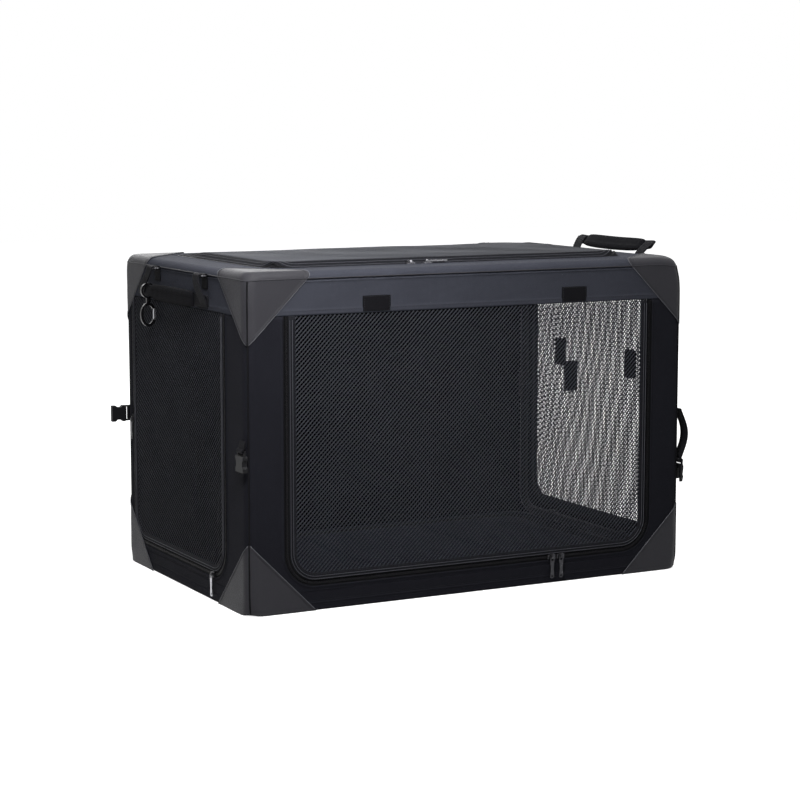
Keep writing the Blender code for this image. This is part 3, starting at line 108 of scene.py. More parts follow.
# Zips, bindings and nets
ZIP_WIDTH = 0.008
ZIP_GAP = 0.0003
OPENING_RADIUS = 0.052
BINDING = 0.011
NET_PITCH = 0.0069
YARN = 0.0018
YARN_RIDGE = 0.0014
NET_DRIFT = 0.0016
NET_SWELL = 0.0016
NET_TUCK = 0.003
# Layers of yarn: slant, height above the skin and width. The rear layer is drawn in painted shade
YARN_LAYERS = ((1, -0.0010, YARN), (-1, -0.0022, YARN * 0.85))
HATCH_RISE = 0.009
HATCH_RIM = 0.013
HATCH_SLOPE = 0.085
HATCH_BOW = 1.2
HATCH_MARGIN = 0.001
TAPE_HEM = 0.003
TAPE_TOP = -0.0007
TAPE_BACK = -0.0013
TOOTH_PITCH = 0.0017
TOOTH_REACH = 0.0007
TOOTH_LIFT = -0.0001
TOOTH_SIZE = (0.0009, 0.0022, 0.0014)
SIDE_POINTS = 64
BOTTOM_POINTS = 110
LINE_CORD = 0.00045
# Pale lines along each binding, painted highlights of its ridges: name and inset
LINES = (("outer", 0.0016), ("inner", 0.0058))
BINDING_SECTION = (
    (0.0, -0.0004), (0.0003, 0.0005), (0.0012, 0.0011), (0.0022, 0.0009), (0.0030, 0.0003), (0.0042, 0.0006),
    (0.0065, 0.0007), (BINDING - 0.0025, 0.0004), (BINDING - 0.0008, 0.0005), (BINDING, -0.0001),
    (BINDING, -0.0026), (0.0, -0.0026),
)

# Stitches: along the seam, across it and out
STITCH_PITCH = 0.0036
STITCH_SIZE = (0.0030, 0.0008, 0.0006)
WRAP_STITCH_SIZE = (0.0030, 0.0008, 0.0007)
ARM_STITCH_PITCH = 0.0024
ARM_STITCH_SIZE = (0.0022, 0.0007, 0.0006)
BOX_HALF = 0.0085

# Hook-and-loop patches: lower and upper heights, and places along the front from its left
# end and along the ends from their middle, on the band and on the door
FRONT_BAND_PATCH = (0.4435, 0.4675)
FRONT_DOOR_PATCH = (0.303, 0.351)
END_BAND_PATCH = (0.4435, 0.4645)
END_DOOR_PATCH = (0.297, 0.345)
FRONT_PATCHES = (("left", 0.190, 0.237), ("right", 0.537, 0.583))
END_PATCHES = (("front", -0.085, -0.104), ("back", 0.105, 0.114))
BAND_PATCH_OUT = 0.0006
DOOR_PATCH_OUT = -0.0044
FRONT_DOOR_INSETS = (0.009, 0.012)
END_PATCH_HALVES = (0.021, 0.017)
PATCH_THICKNESS = 0.0012

# Straps
WEBBING = 0.0016
EYE = 0.0026
ANCHOR_SPREAD = 0.095
ANCHOR_WIDTH = 0.022
ANCHOR_TAIL = 0.020
HANDLE_REACH = 0.036
HANDLE_SPREAD = 0.141
HANDLE_STRAP = 0.018
ARM_OVERLAP = 0.004
ARM_FOOT = 0.026
GRIP_HALF = 0.085
GRIP_SQUARE = 0.62
RING_WIRE = 0.003

# Each handle: side, angle raised, spread of its arms, reach to its bar, and sag
HANDLES = {
    "left": (-1, 0.0, HANDLE_SPREAD, HANDLE_REACH, 0.0),
    "right": (1, math.radians(140), HANDLE_SPREAD - 0.024, HANDLE_REACH - 0.005, -0.004),
}

# Strap tabs
TAB_WIDTH = 0.020
TAB_THICKNESS = 0.0024
TAB_Y = 0.233
TAB_Z = 0.262
SIDE_TAB_Z = 0.245
SIDE_TAB_INSET = 0.020
TAB_SHORT = 0.015
TAB_LONG = 0.085
TAB_BULGE = 0.013
TAB_REACH = 0.0043
TAB_EYE = 0.0031

# Floor mat
MAT_COLUMNS = 116
MAT_ROWS = 68
MAT_WAIST = 0.004
MAT_RIM = 0.006
MAT_PUFF = 0.004
MAT_BORDER = 0.014
MAT_RISE = 0.003
PUFF_FRAMES = 20

# Metal that is bright, and not dark like the rest
BRIGHT = ("top_left_slider", "top_right_slider", "top_left_pull", "top_right_pull", "left_low_pull")

# What the folding frame leaves of the walls and of the corner wraps
WALL_KEEP = 0.034
LOWER_WRAP_KEEP = 0.40
UPPER_WRAP_KEEP = 0.50

# Stage: a lamp is its name, place, size, watts and the point that it is aimed at
SKY = 0.22
SKY_COLOUR = (0.95, 0.97, 1.0, 1)
LAMPS = (
    ("top_softbox", (0.0, -0.5, 2.4), (2.0, 1.6), 50, (0, 0, 0.4)),
    ("key", (-0.56, -0.80, 1.00), (0.3, 0.25), 20, (-0.3, -0.2, 0.44)),
    ("front_fill", (-0.4, -3.6, 1.4), (2.4, 1.8), 6, (0, 0, 0.25)),
    ("rear_fill", (0.7, 3.2, 1.5), (2.6, 1.8), 60, (0.1, 0, 0.25)),
)
FLOOR_HALF = 9.0
FLOOR_DROP = -0.0004
# How far out the floor's glow starts to rise, and where it is full
FLOOR_REACH = (0.6, 1.8)
FLOOR_GLOW = 0.84
FLOOR_SHADE = 0.5
FLOOR_GREY = 0.12
CAMERA_LENS = 97.34
CAMERA_PLACE = (-1.63725, -3.09277, 0.73159)
CAMERA_PITCH = math.pi / 2 - 0.130746
CAMERA_TURN = -0.486431

# Unrolled skin
FLAT_X = SKIN_X - CORNER
FLAT_Y = SKIN_Y - CORNER
QUARTER = CORNER * math.pi / 2
HALF_WAY = 2 * FLAT_X + 2 * FLAT_Y + 2 * QUARTER
RIGHT_S = FLAT_X + QUARTER + FLAT_Y
FRONT_CORNER = FLAT_X + QUARTER / 2
BACK_CORNER = FLAT_X + 1.5 * QUARTER + 2 * FLAT_Y
CORNERS = {"front_left": (-1, -1), "front_right": (1, -1), "back_left": (-1, 1), "back_right": (1, 1)}
CORNER_PLACES = {"front_left": -FRONT_CORNER, "front_right": FRONT_CORNER,
                 "back_left": -BACK_CORNER, "back_right": BACK_CORNER}


def joined(*columns):
    """Table with a column for each number or array."""
    return np.stack(np.broadcast_arrays(*columns), -1)


def unit(arrows):
    """Vectors scaled to a length of one."""
    return arrows / np.linalg.norm(arrows, axis=-1, keepdims=True)


def legs(s):
    """Side that a place round the skin is on, and the share of each leg that lies behind
    it: half the front, a corner, the end, a corner and half the back."""
    ends = np.cumsum([0.0, FLAT_X, QUARTER, 2 * FLAT_Y, QUARTER, FLAT_X])
    shares = [np.clip((np.abs(s) - a) / (b - a), 0, 1) for a, b in zip(ends, ends[1:])]
    return np.where(s < 0, -1.0, 1.0), shares


def around(s, out):
    """Plan place at distance s round the skin: a straight, a quarter circle, a straight
    and so on, each pushed along its outward normal by out."""
    s = (np.asarray(s, float) + HALF_WAY) % (2 * HALF_WAY) - HALF_WAY
    side, (front, corner, end, far_corner, back) = legs(s)
    angle = (corner + far_corner) * math.pi / 2
    x = FLAT_X * (front - back) + (CORNER + out) * np.sin(angle)
    return side * x, FLAT_Y * (2 * end - 1) - (CORNER + out) * np.cos(angle)


def on_side(centre):
    """Placing function of the upright skin, with u measured from a centre line."""
    def place(u, v, out):
        return joined(*around(centre + np.asarray(u, float), out), v)
    return place


def on_top(u, v, out):
    """Placing function of the flat top."""
    return joined(u, v, SKIN_TOP + np.asarray(out, float))


def on_hatch(u, v, out):
    """Placing function of the hatch: at the level of the top along its zip and its sewn
    side. It is lifted by smooth steps over the width of its binding, and from the sewn
    side by a slope that stays clear of the cover when the hatch is thrown back."""
    u, v = np.asarray(u, float), np.asarray(v, float)
    lift = smooth_step((hatch_high.x - np.abs(u) + HATCH_MARGIN) / HATCH_RIM)
    lift = lift * smooth_step((v - hatch_low.y + HATCH_MARGIN) / HATCH_RIM)
    lift = lift * (1 - (1 - np.clip((hatch_high.y - v) / HATCH_SLOPE, 0, 1)) ** HATCH_BOW)
    return on_top(u, v, out + HATCH_RISE * lift)


def ripples(a, b, size, seed, count=8):
    """Sum of sine waves of about one size in seeded directions, from -1 to 1."""
    rng = np.random.default_rng(seed)
    total = 0.0
    for _ in range(count):
        angle, phase = rng.uniform(0, math.tau, 2)
        wave = size * rng.uniform(0.6, 1.8)
        total = total + np.sin((a * math.cos(angle) + b * math.sin(angle)) * math.tau / wave + phase)
    return total / count


def waves(a, b, kinds, seed):
    """Ripples of several kinds, each with a height and a length of its own."""
    return sum(height * ripples(a, b, size, seed + k) for k, (height, size) in enumerate(kinds))


def smooth_step(x):
    """Zero below 0, one above 1, and an even S between."""
    x = np.clip(x, 0, 1)
    return x * x * (3 - 2 * x)


def bump(x, centre, width):
    """Bell curve of height 1."""
    return np.exp(-((x - centre) / width) ** 2)


def round_corners(points):
    """Draw the skins in near the crate's eight corners, by a bell curve of the distance
    from the corner of the box round it. The two at the top right hang looser."""
    centred = points - [0, 0, HEIGHT / 2]
    away = np.linalg.norm([OUTER_X, OUTER_Y, HEIGHT / 2] - np.abs(centred), axis=1, keepdims=True)
    loose = (centred[:, :1] > 0) & (centred[:, 2:] > 0)
    draw, reach = (np.where(loose, a, b) for a, b in zip(LOOSE_CORNER, TIGHT_CORNER))
    return points - draw * np.exp(-(away / reach) ** 2) * np.sign(centred)


def add_object(name, data):
    """Object in the scene, at the origin."""
    made = bpy.data.objects.new(name, data)
    bpy.context.scene.collection.objects.link(made)
    return made


def mesh_object(name, points, faces, uv, surface):
    """Object from arrays of points, faces of one size, and a uv in metres for each point."""
    mesh = bpy.data.meshes.new(name)
    mesh.vertices.add(len(points))
    mesh.vertices.foreach_set("co", round_corners(points).astype(np.float32).ravel())
    mesh.loops.add(faces.size)
    mesh.loops.foreach_set("vertex_index", faces.astype(np.int32).ravel())
    mesh.polygons.add(len(faces))
    mesh.polygons.foreach_set("loop_start", np.arange(len(faces), dtype=np.int32) * faces.shape[1])
    mesh.polygons.foreach_set("use_smooth", np.ones(len(faces), bool))
    layer = mesh.uv_layers.new(name="metres")
    layer.data.foreach_set("uv", np.asarray(uv, np.float32)[faces.ravel()].ravel())
    mesh.materials.append(surface)
    mesh.update(calc_edges=True)
    return add_object(name, mesh)


def grid(name, points, uv, surface, wrap_rows=False, wrap_columns=False, cap=False):
    """Quads over rows and columns of points. Wrapping joins the last line to the first."""
    rows, columns = points.shape[:2]
    index = np.arange(rows * columns).reshape(rows, columns)
    if wrap_rows:
        index = np.vstack([index, index[:1]])
    if wrap_columns:
        index = np.hstack([index, index[:, :1]])
    quads = joined(index[:-1, :-1], index[:-1, 1:], index[1:, 1:], index[1:, :-1]).reshape(-1, 4)
    made = mesh_object(name, points.reshape(-1, 3), quads, uv.reshape(-1, 2), surface)
    if cap:
        clean(made, fill=True)
    return made


def clean(made, fill=False):
    """Fill a tube's open ends or merge the points of a mesh's poles, and turn the faces
    outward."""
    bm = bmesh.new()
    bm.from_mesh(made.data)
    if fill:
        bmesh.ops.holes_fill(bm, edges=[edge for edge in bm.edges if edge.is_boundary])
    else:
        bmesh.ops.remove_doubles(bm, verts=bm.verts, dist=1e-6)
    bmesh.ops.recalc_face_normals(bm, faces=bm.faces)
    bm.to_mesh(made.data)
    bm.free()


def thicken(made, thickness):
    """Give a single skin a wall on its inner side, and write it into the mesh."""
    wall = made.modifiers.new("wall", "SOLIDIFY")
    wall.thickness = thickness
    wall.offset = -1.0
    skin = made.data
    seen = made.evaluated_get(bpy.context.evaluated_depsgraph_get())
    made.data = bpy.data.meshes.new_from_object(seen)
    made.modifiers.clear()
    bpy.data.meshes.remove(skin)
    return made


def lengths(points):
    """Distance along a line of points, from its first."""
    steps = np.linalg.norm(np.diff(points, axis=0), axis=1)
    return np.concatenate([[0.0], np.cumsum(steps)])


def spaced(line, spacing, start=0.0):
    """Points and unit tangents at an even spacing along a line of points."""
    far = lengths(line)
    at = np.arange(start, far[-1], spacing)
    points, ahead, behind = (joined(*[np.interp(at + step, far, column) for column in line.T])
                             for step in (0.0, 1e-4, -1e-4))
    return points, unit(ahead - behind)


# Small shapes: points and triangles of a stitch and of a zip's tooth
STITCH = (np.array([[1, 0, 0], [-1, 0, 0], [0, 1, 0], [0, -1, 0], [0, 0, 1], [0, 0, -1]]) / 2,
          np.array([[0, 2, 4], [2, 1, 4], [1, 3, 4], [3, 0, 4], [2, 0, 5], [1, 2, 5], [3, 1, 5], [0, 3, 5]]))
TOOTH = (np.array([[-1, -1, -1], [1, -1, -1], [1, 1, -1], [-1, 1, -1],
                   [-0.5, -0.9, 1], [0.5, -0.9, 1], [0.5, 0.9, 1], [-0.5, 0.9, 1]]) / 2,
         np.array([[0, 3, 2], [0, 2, 1], [4, 5, 6], [4, 6, 7], [0, 1, 5], [0, 5, 4], [1, 2, 6], [1, 6, 5],
                   [2, 3, 7], [2, 7, 6], [3, 0, 4], [3, 4, 7]]))


def beads(name, line, place, out, spacing, size, shape, surface, start=0.0):
    """One small shape at each even step of a line that is drawn on a skin.

    A shape's own axes run along the line, across it and out of the skin, and size gives
    its length on each.
    """
    flat, nudged = spaced(line, spacing, start)[0], spaced(line, spacing, start + 1e-4)[0]
    flat = flat[:len(nudged)]
    centre, ahead, above = (place(spots[:, 0], spots[:, 1], out + rise)
                            for spots, rise in ((flat, 0.0), (nudged, 0.0), (flat, 1e-3)))
    return bead_object(name, centre, unit(ahead - centre), unit(above - centre), size, shape, surface)


def bead_object(name, centre, along, outward, size, shape, surface):
    """The small shapes themselves, from their middles and two of their axes."""
    points, faces = shape
    frames = np.stack([along, np.cross(outward, along), outward], 1)
    placed = (centre[:, None] + points * np.asarray(size) @ frames).reshape(-1, 3)
    every = (faces + len(points) * np.arange(len(centre))[:, None, None]).reshape(-1, 3)
    made = mesh_object(name, placed, every, placed[:, :2], surface)
    made.data.polygons.foreach_set("use_smooth", np.zeros(len(every), bool))
    return made


def tube(name, line, radius, surface, sides=8):
    """Round cord along a line of points: a circle carried in the plane square to it."""
    ahead = unit(np.gradient(line, axis=0))
    guide = np.where(np.abs(ahead[:, 2:]) > 0.9, [[1.0, 0.0, 0.0]], [[0.0, 0.0, 1.0]])
    first = unit(np.cross(ahead, guide))
    second = np.cross(ahead, first)
    angle = np.arange(sides) * math.tau / sides
    ring = first[:, None] * np.cos(angle)[:, None] + second[:, None] * np.sin(angle)[:, None]
    uv = joined(lengths(line)[:, None], angle * radius)
    return grid(name, line[:, None] + radius * ring, uv, surface, wrap_columns=True, cap=True)


def opening_line(opening, inset):
    """Edge of an opening drawn in by an inset: down one side, round along the bottom on
    two quarter circles, and up the other."""
    centre, half, low, top, radius = opening
    half, low, radius = half - inset, low + inset, max(radius - inset, 0.001)
    side = np.linspace(top, low + radius, SIDE_POINTS)
    turn = np.linspace(0, math.pi / 2, 18)[1:-1]
    bottom = np.linspace(-half + radius, half - radius, BOTTOM_POINTS)
    sine, cosine = radius * (1 - np.sin(turn)), radius * (1 - np.cos(turn))
    u = np.concatenate([0 * side - half, cosine - half, bottom, half - sine, 0 * side + half])
    v = np.concatenate([side, low + sine, 0 * bottom + low, low + cosine, side[::-1]])
    return joined(centre + u, v)


def opening_strip(name, opening, place, rows, surface):
    """Closed strip along an opening. Each row is an inset and a height above the skin."""
    lines = [opening_line(opening, inset) for inset, _ in rows]
    points = [place(line[:, 0], line[:, 1], out) for line, (_, out) in zip(lines, rows)]
    uv = joined(lengths(lines[0]), lengths(np.array(rows))[:, None])
    return grid(name, np.array(points), uv, surface, wrap_rows=True, cap=True)


def feed(made, values):
    """Set the sockets of a shader node, each by a value or a link."""
    for socket, value in values.items():
        if isinstance(value, bpy.types.NodeSocket):
            made.id_data.links.new(value, made.inputs[socket])
        else:
            made.inputs[socket].default_value = value


def node(tree, kind, values=None, **settings):
    """Add a shader node with its settings and what its sockets get."""
    made = tree.nodes.new("ShaderNode" + kind)
    for key, value in settings.items():
        setattr(made, key, value)
    feed(made, values or {})
    return made


def calc(tree, operation, a, b=0.0):
    """One arithmetic node. MULTIPLY_ADD adds a half, which its third socket starts with."""
    return node(tree, "Math", {0: a, 1: b}, operation=operation).outputs[0]


def times(tree, a, b):
    """Product of two values."""
    return calc(tree, "MULTIPLY", a, b)


def plus(tree, a, b):
    """Sum of two values."""
    return calc(tree, "ADD", a, b)


def vectors(tree, operation, *sockets):
    """One vector arithmetic node."""
    return node(tree, "VectorMath", dict(enumerate(sockets)), operation=operation).outputs


def clamped(tree, value):
    """A value kept between 0 and 1."""
    return node(tree, "Clamp", {0: value}).outputs[0]


def noise(tree, vector, scale, detail, roughness=0.5):
    """Noise texture node."""
    sockets = {"Vector": vector, "Scale": scale, "Detail": detail, "Roughness": roughness}
    return node(tree, "TexNoise", sockets)


GROUPS = {}


def shader_group(title, **inputs):
    """Decorator that builds a shader group. The function gets the group's tree, its
    vector and its values, and returns its outputs by name."""
    def build(fill):
        tree = bpy.data.node_groups.new(title, "ShaderNodeTree")
        tree.interface.new_socket("Vector", in_out="INPUT", socket_type="NodeSocketVector")
        for word, value in inputs.items():
            socket = tree.interface.new_socket(word, in_out="INPUT", socket_type="NodeSocketFloat")
            socket.default_value = value
        source = tree.nodes.new("NodeGroupInput").outputs
        outputs = fill(tree, source["Vector"], *[source[word] for word in inputs])
        for word in outputs:
            tree.interface.new_socket(word, in_out="OUTPUT", socket_type="NodeSocketFloat")
        feed(tree.nodes.new("NodeGroupOutput"), outputs)
        GROUPS[fill.__name__] = tree
        return fill
    return build


@shader_group("plain weave", Threads=1400.0)
def weave(tree, vector, threads):
    """Plain weave: rounded threads both ways, over and under in turn."""
    axes = node(tree, "SeparateXYZ", {0: vector})
    waves = [calc(tree, "SINE", times(tree, axes.outputs[word], times(tree, threads, math.pi)))
             for word in ("X", "Y")]
    over = calc(tree, "GREATER_THAN", times(tree, *waves), 0.0)
    sizes = [calc(tree, "ABSOLUTE", wave) for wave in waves]
    height = node(tree, "Mix", {0: over, 2: sizes[0], 3: sizes[1]}).outputs[0]
    return {"Height": height, "Shade": calc(tree, "MULTIPLY_ADD", height, 0.5)}


@shader_group("webbing ribs", Ribs=700.0)
def rib(tree, vector, ribs):
    """Webbing ribs that run along it, broken into short slanted picks."""
    axes = node(tree, "SeparateXYZ", {0: vector})
    across = times(tree, axes.outputs["Y"], times(tree, ribs, math.pi))
    along = times(tree, axes.outputs["X"], times(tree, ribs, 2.4))
    ridge = calc(tree, "ABSOLUTE", calc(tree, "SINE", across))
    pick = calc(tree, "ABSOLUTE", calc(tree, "SINE", plus(tree, along, across)))
    return {"Height": times(tree, plus(tree, ridge, times(tree, pick, 0.5)), 0.66)}


@shader_group("clouded tone", Size=9.0, Amount=0.3)
def cloud(tree, vector, size, amount):
    """Slow change of tone with a finer one on top, about a middle of 1."""
    slow = noise(tree, vector, size, 4.0, 0.6)
    fine = noise(tree, vector, times(tree, size, 14.0), 3.0)
    both = plus(tree, slow.outputs[0], times(tree, fine.outputs[0], 0.5))
    return {"Factor": plus(tree, times(tree, calc(tree, "SUBTRACT", both, 0.75), amount), 1.0)}


@shader_group("lint specks", Scale=420.0, Share=0.74)
def lint(tree, vector, scale, share):
    """Sparse pale specks of lint and dust."""
    edge = calc(tree, "SUBTRACT", noise(tree, vector, scale, 2.0).outputs[0], share)
    return {"Mask": clamped(tree, times(tree, edge, 12.0))}


@shader_group("leather grain", Scale=900.0)
def grain(tree, vector, scale):
    """Leather grain: pebbles between fine creases, over slow wrinkles."""
    wander = noise(tree, vector, 60.0, 3.0)
    bent = vectors(tree, "MULTIPLY", wander.outputs["Color"], (0.004, 0.004, 0.004))[0]
    where = vectors(tree, "ADD", vector, bent)[0]
    cells = node(tree, "TexVoronoi", {"Vector": where, "Scale": scale}, feature="DISTANCE_TO_EDGE")
    pebble = clamped(tree, times(tree, cells.outputs["Distance"], 4.0))
    return {"Height": plus(tree, pebble, times(tree, wander.outputs[0], 0.6)),
            "Crease": calc(tree, "SUBTRACT", 1.0, pebble)}


@shader_group("rubbed wear", Scale=160.0, Share=0.58)
def wear(tree, vector, scale, share):
    """Rubbed places on plated metal and moulded plastic."""
    edge = calc(tree, "SUBTRACT", noise(tree, vector, scale, 5.0, 0.65).outputs[0], share)
    stretched = node(tree, "Mapping", {"Vector": vector, "Scale": (1.0, 1.0, 0.05)})
    scratch = noise(tree, stretched.outputs[0], 2600.0, 2.0)
    return {"Mask": clamped(tree, times(tree, edge, 6.0)), "Scratch": scratch.outputs[0]}


def use(tree, word, vector, **values):
    """Place a shader group in a material, with a vector and values of its own."""
    return node(tree, "Group", {"Vector": vector, **values}, node_tree=GROUPS[word]).outputs


def start_material(name, roughness, specular=0.5, metallic=0.0):
    """Material with its Principled shader, and the settings that are even all over."""
    made = bpy.data.materials.new(name)
    made.use_nodes = True
    shader = made.node_tree.nodes["Principled BSDF"]
    feed(shader, {"Roughness": roughness, "Metallic": metallic, "Specular IOR Level": specular})
    return made, made.node_tree, shader


def metres_uv(tree):
    """The piece's own uv map, in metres."""
    return node(tree, "UVMap", uv_map="metres").outputs[0]


def object_place(tree):
    """Object coordinates, in metres."""
    return node(tree, "TexCoord").outputs["Object"]


def clouded(tree, **values):
    """Clouded tone over the whole crate."""
    return use(tree, "cloud", object_place(tree), **values)["Factor"]


def mixed(tree, mask, colour, other):
    """One colour mixed to another by a mask."""
    return node(tree, "Mix", {0: mask, 6: colour, 7: (*other, 1.0)}, data_type="RGBA").outputs[2]


def tinted(tree, colour, factor):
    """A colour scaled by a factor."""
    grey = node(tree, "CombineColor", {0: factor, 1: factor, 2: factor}).outputs[0]
    return node(tree, "Mix", {0: 1.0, 6: (*colour, 1.0), 7: grey}, data_type="RGBA",
                blend_type="MULTIPLY").outputs[2]


def bumped(tree, height, strength, distance):
    """Normal tilted by a height."""
    return node(tree, "Bump", {"Height": height, "Strength": strength, "Distance": distance}).outputs[0]


def inner_side(tree):
    """Mask of the faces that look into the crate: their normal points towards its middle."""
    away = vectors(tree, "SUBTRACT", object_place(tree), (0, 0, HEIGHT / 2))[0]
    normal = node(tree, "TexCoord").outputs["Normal"]
    return calc(tree, "LESS_THAN", vectors(tree, "DOT_PRODUCT", away, normal)["Value"])


def cloth_material(name, colour, threads, roughness, amount=0.35, depth=0.0002, inner_shade=None):
    """Woven cloth: threads, clouded tone, and a little lint. Given an inner shade colour, the side that looks
    into the crate is painted near black in it: painted shade of the crate's inside."""
    made, tree, shader = start_material(name, roughness, 0.04)
    woven = use(tree, "weave", metres_uv(tree), Threads=threads)
    specks = use(tree, "lint", object_place(tree))["Mask"]
    pale = tuple(min(1.0, channel * 4 + 0.02) for channel in colour)
    base = tinted(tree, colour, times(tree, clouded(tree, Amount=amount), woven["Shade"]))
    base = mixed(tree, times(tree, specks, 0.5), base, pale)
    # Painted shade on the faces that look into the crate
    if inner_shade:
        base = mixed(tree, inner_side(tree), base, inner_shade)
    feed(shader, {"Base Color": base, "Normal": bumped(tree, woven["Height"], 0.6, depth)})
    return made


def leather_material():
    """Dark grey faux leather with a fine pebbled grain."""
    made, tree, shader = start_material("faux leather", 0.5, 0.12)
    pebbled = use(tree, "grain", metres_uv(tree))
    tone = clouded(tree, Size=14.0, Amount=0.3)
    crease = times(tree, pebbled["Crease"], 0.35)
    feed(shader, {"Base Color": mixed(tree, crease, tinted(tree, LEATHER_GREY, tone), LEATHER_CREASE),
                  "Roughness": times(tree, tone, 0.52),
                  "Normal": bumped(tree, pebbled["Height"], 0.45, 0.00025)})
    return made


def webbing_material(name, colour, ribs):
    """Ribbed webbing, with the ribs painted paler than the hollows between them: painted shade in the
    hollows.
    """
    made, tree, shader = start_material(name, 0.7, 0.04)
    height = use(tree, "rib", metres_uv(tree), Ribs=ribs)["Height"]
    factor = times(tree, clouded(tree, Size=30.0, Amount=0.4), calc(tree, "MULTIPLY_ADD", height, 0.7))
    feed(shader, {"Base Color": tinted(tree, colour, factor), "Normal": bumped(tree, height, 0.7, 0.0004)})
    return made


def metal_material(name, colour, worn, roughness):
    """Plated metal, rubbed brighter in places, with fine scratches."""
    made, tree, shader = start_material(name, roughness, metallic=1.0)
    rubbed = use(tree, "wear", object_place(tree))
    base = mixed(tree, rubbed["Mask"], tinted(tree, colour, clouded(tree, Size=60.0)), worn)
    feed(shader, {"Base Color": base, "Normal": bumped(tree, rubbed["Scratch"], 0.15, 0.0001),
                  "Roughness": plus(tree, times(tree, rubbed["Scratch"], 0.25), roughness - 0.12)})
    return made


def plastic_material(name, colour, roughness):
    """Moulded plastic with a fine sand texture."""
    made, tree, shader = start_material(name, roughness, 0.1)
    sand = noise(tree, object_place(tree), 3200.0, 2.0).outputs[0]
    rubbed = use(tree, "wear", object_place(tree), Scale=90.0, Share=0.62)["Mask"]
    pale = tuple(channel * 2.0 + 0.002 for channel in colour)
    base = mixed(tree, times(tree, rubbed, 0.5), tinted(tree, colour, clouded(tree, Size=40.0)), pale)
    feed(shader, {"Base Color": base, "Normal": bumped(tree, sand, 0.25, 0.0001),
                  "Roughness": plus(tree, times(tree, sand, 0.2), roughness - 0.1)})
    return made


def yarn_material(name, colour, specular):
    """Dark polyester yarn of the nets, with a soft shine."""
    made, tree, shader = start_material(name, 0.5, specular)
    twist = noise(tree, object_place(tree), 1800.0, 2.0).outputs[0]
    feed(shader, {"Base Color": tinted(tree, colour, clouded(tree, Size=24.0, Amount=0.5)),
                  "Normal": bumped(tree, twist, 0.4, 0.0002)})
    return made


def pile_material():
    """Hook-and-loop patch: a dense, dull pile."""
    made, tree, shader = start_material("hook and loop", 0.95, 0.05)
    far = node(tree, "TexVoronoi", {"Vector": object_place(tree), "Scale": 1500.0}).outputs["Distance"]
    tone = plus(tree, times(tree, far, 0.9), 0.55)
    feed(shader, {"Base Color": tinted(tree, PILE_BLACK, tone), "Normal": bumped(tree, far, 0.8, 0.0006)})
    return made


OXFORD_BLACK = (0.0088, 0.0090, 0.0122)
# Painted shade: the near-black colour of the cloth's side that looks into the crate, for the shade inside it
INNER_SHADE_BLACK = (0.0016, 0.0017, 0.0022)
# Painted light: the top cover is the walls' oxford cloth drawn about four times lighter, a lit copy for the
# light that falls on its band and top
COVER_PAINTED_LIGHT_GREY = (0.0335, 0.0355, 0.0455)
LEATHER_GREY = (0.0178, 0.0175, 0.0208)
LEATHER_CREASE = (0.0105, 0.0102, 0.0123)
# Painted highlight: pale cords along the wraps' slanting edges, for the light that their turned edge catches
EDGE_HIGHLIGHT_GREY = (0.075, 0.076, 0.084)
# Painted highlight: pale lines along the bindings, for the light on their ridges
RIDGE_HIGHLIGHT_GREY = (0.042, 0.043, 0.050)
YARN_GREY = (0.0215, 0.0232, 0.0300)
# Painted shade: the rear family of net yarn is a darker copy of the same yarn, beside the lit front family
YARN_PAINTED_SHADE = (0.0032, 0.0034, 0.0042)
PILE_BLACK = (0.0045, 0.0045, 0.0055)
WEBBING_BLACK = (0.0050, 0.0050, 0.0062)
NAVY = (0.0055, 0.0070, 0.0120)
MAT_EDGE = (0.013, 0.014, 0.018)

oxford = cloth_material("oxford cloth", OXFORD_BLACK, 1400.0, 0.8, inner_shade=INNER_SHADE_BLACK)
lit_cover_cloth = cloth_material("cover cloth with painted light", COVER_PAINTED_LIGHT_GREY, 1400.0, 0.8)
binding_cloth = cloth_material("binding tape", (0.0085, 0.0087, 0.011), 2200.0, 0.65, amount=0.25)
zip_cloth = cloth_material("zip tape", (0.0055, 0.0055, 0.0065), 2600.0, 0.75, amount=0.2)
mat_cloth = cloth_material("mat cloth", NAVY, 900.0, 0.85, amount=0.5, depth=0.0004)
mat_piping = cloth_material("mat piping", MAT_EDGE, 1400.0, 0.8)
grip_cloth = cloth_material("grip sleeve", (0.0045, 0.0045, 0.0056), 1100.0, 0.85)
leather = leather_material()
webbing = webbing_material("webbing", WEBBING_BLACK, 700.0)
yarn = yarn_material("net yarn", YARN_GREY, 0.16)
shaded_rear_yarn = yarn_material("rear net yarn in painted shade", YARN_PAINTED_SHADE, 0.04)
pile = pile_material()
thread = plastic_material("sewing thread", (0.011, 0.011, 0.013), 0.7)
ridge_highlight_cord = plastic_material("painted ridge highlight", RIDGE_HIGHLIGHT_GREY, 0.6)
edge_highlight_cord = plastic_material("painted edge highlight", EDGE_HIGHLIGHT_GREY, 0.6)
coil_plastic = plastic_material("zip coil", (0.008, 0.008, 0.009), 0.4)
buckle_plastic = plastic_material("buckle plastic", (0.0035, 0.0035, 0.0042), 0.5)
steel = plastic_material("coated tube", (0.0045, 0.0045, 0.0052), 0.55)
hook_metal = metal_material("black nickel", (0.010, 0.010, 0.011), (0.07, 0.07, 0.075), 0.36)
gunmetal = metal_material("dark nickel", (0.030, 0.030, 0.033), (0.16, 0.16, 0.17), 0.36)
nickel = metal_material("bright nickel", (0.30, 0.30, 0.32), (0.62, 0.62, 0.64), 0.26)


def finish_piece(made, body, slot_name, squash=None):
    """Carry a piece on its body, and give a piece that has a fold a mesh of its own. The slot name is not
    used.
    """
    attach(made, body)
    if squash:
        anchor, keep = squash
        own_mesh(made)
    return made


WALL_FOLD = (WALL_BOTTOM, WALL_KEEP)
LOWER_FOLD = (0.0, LOWER_WRAP_KEEP)
UPPER_FOLD = (HEIGHT, UPPER_WRAP_KEEP)

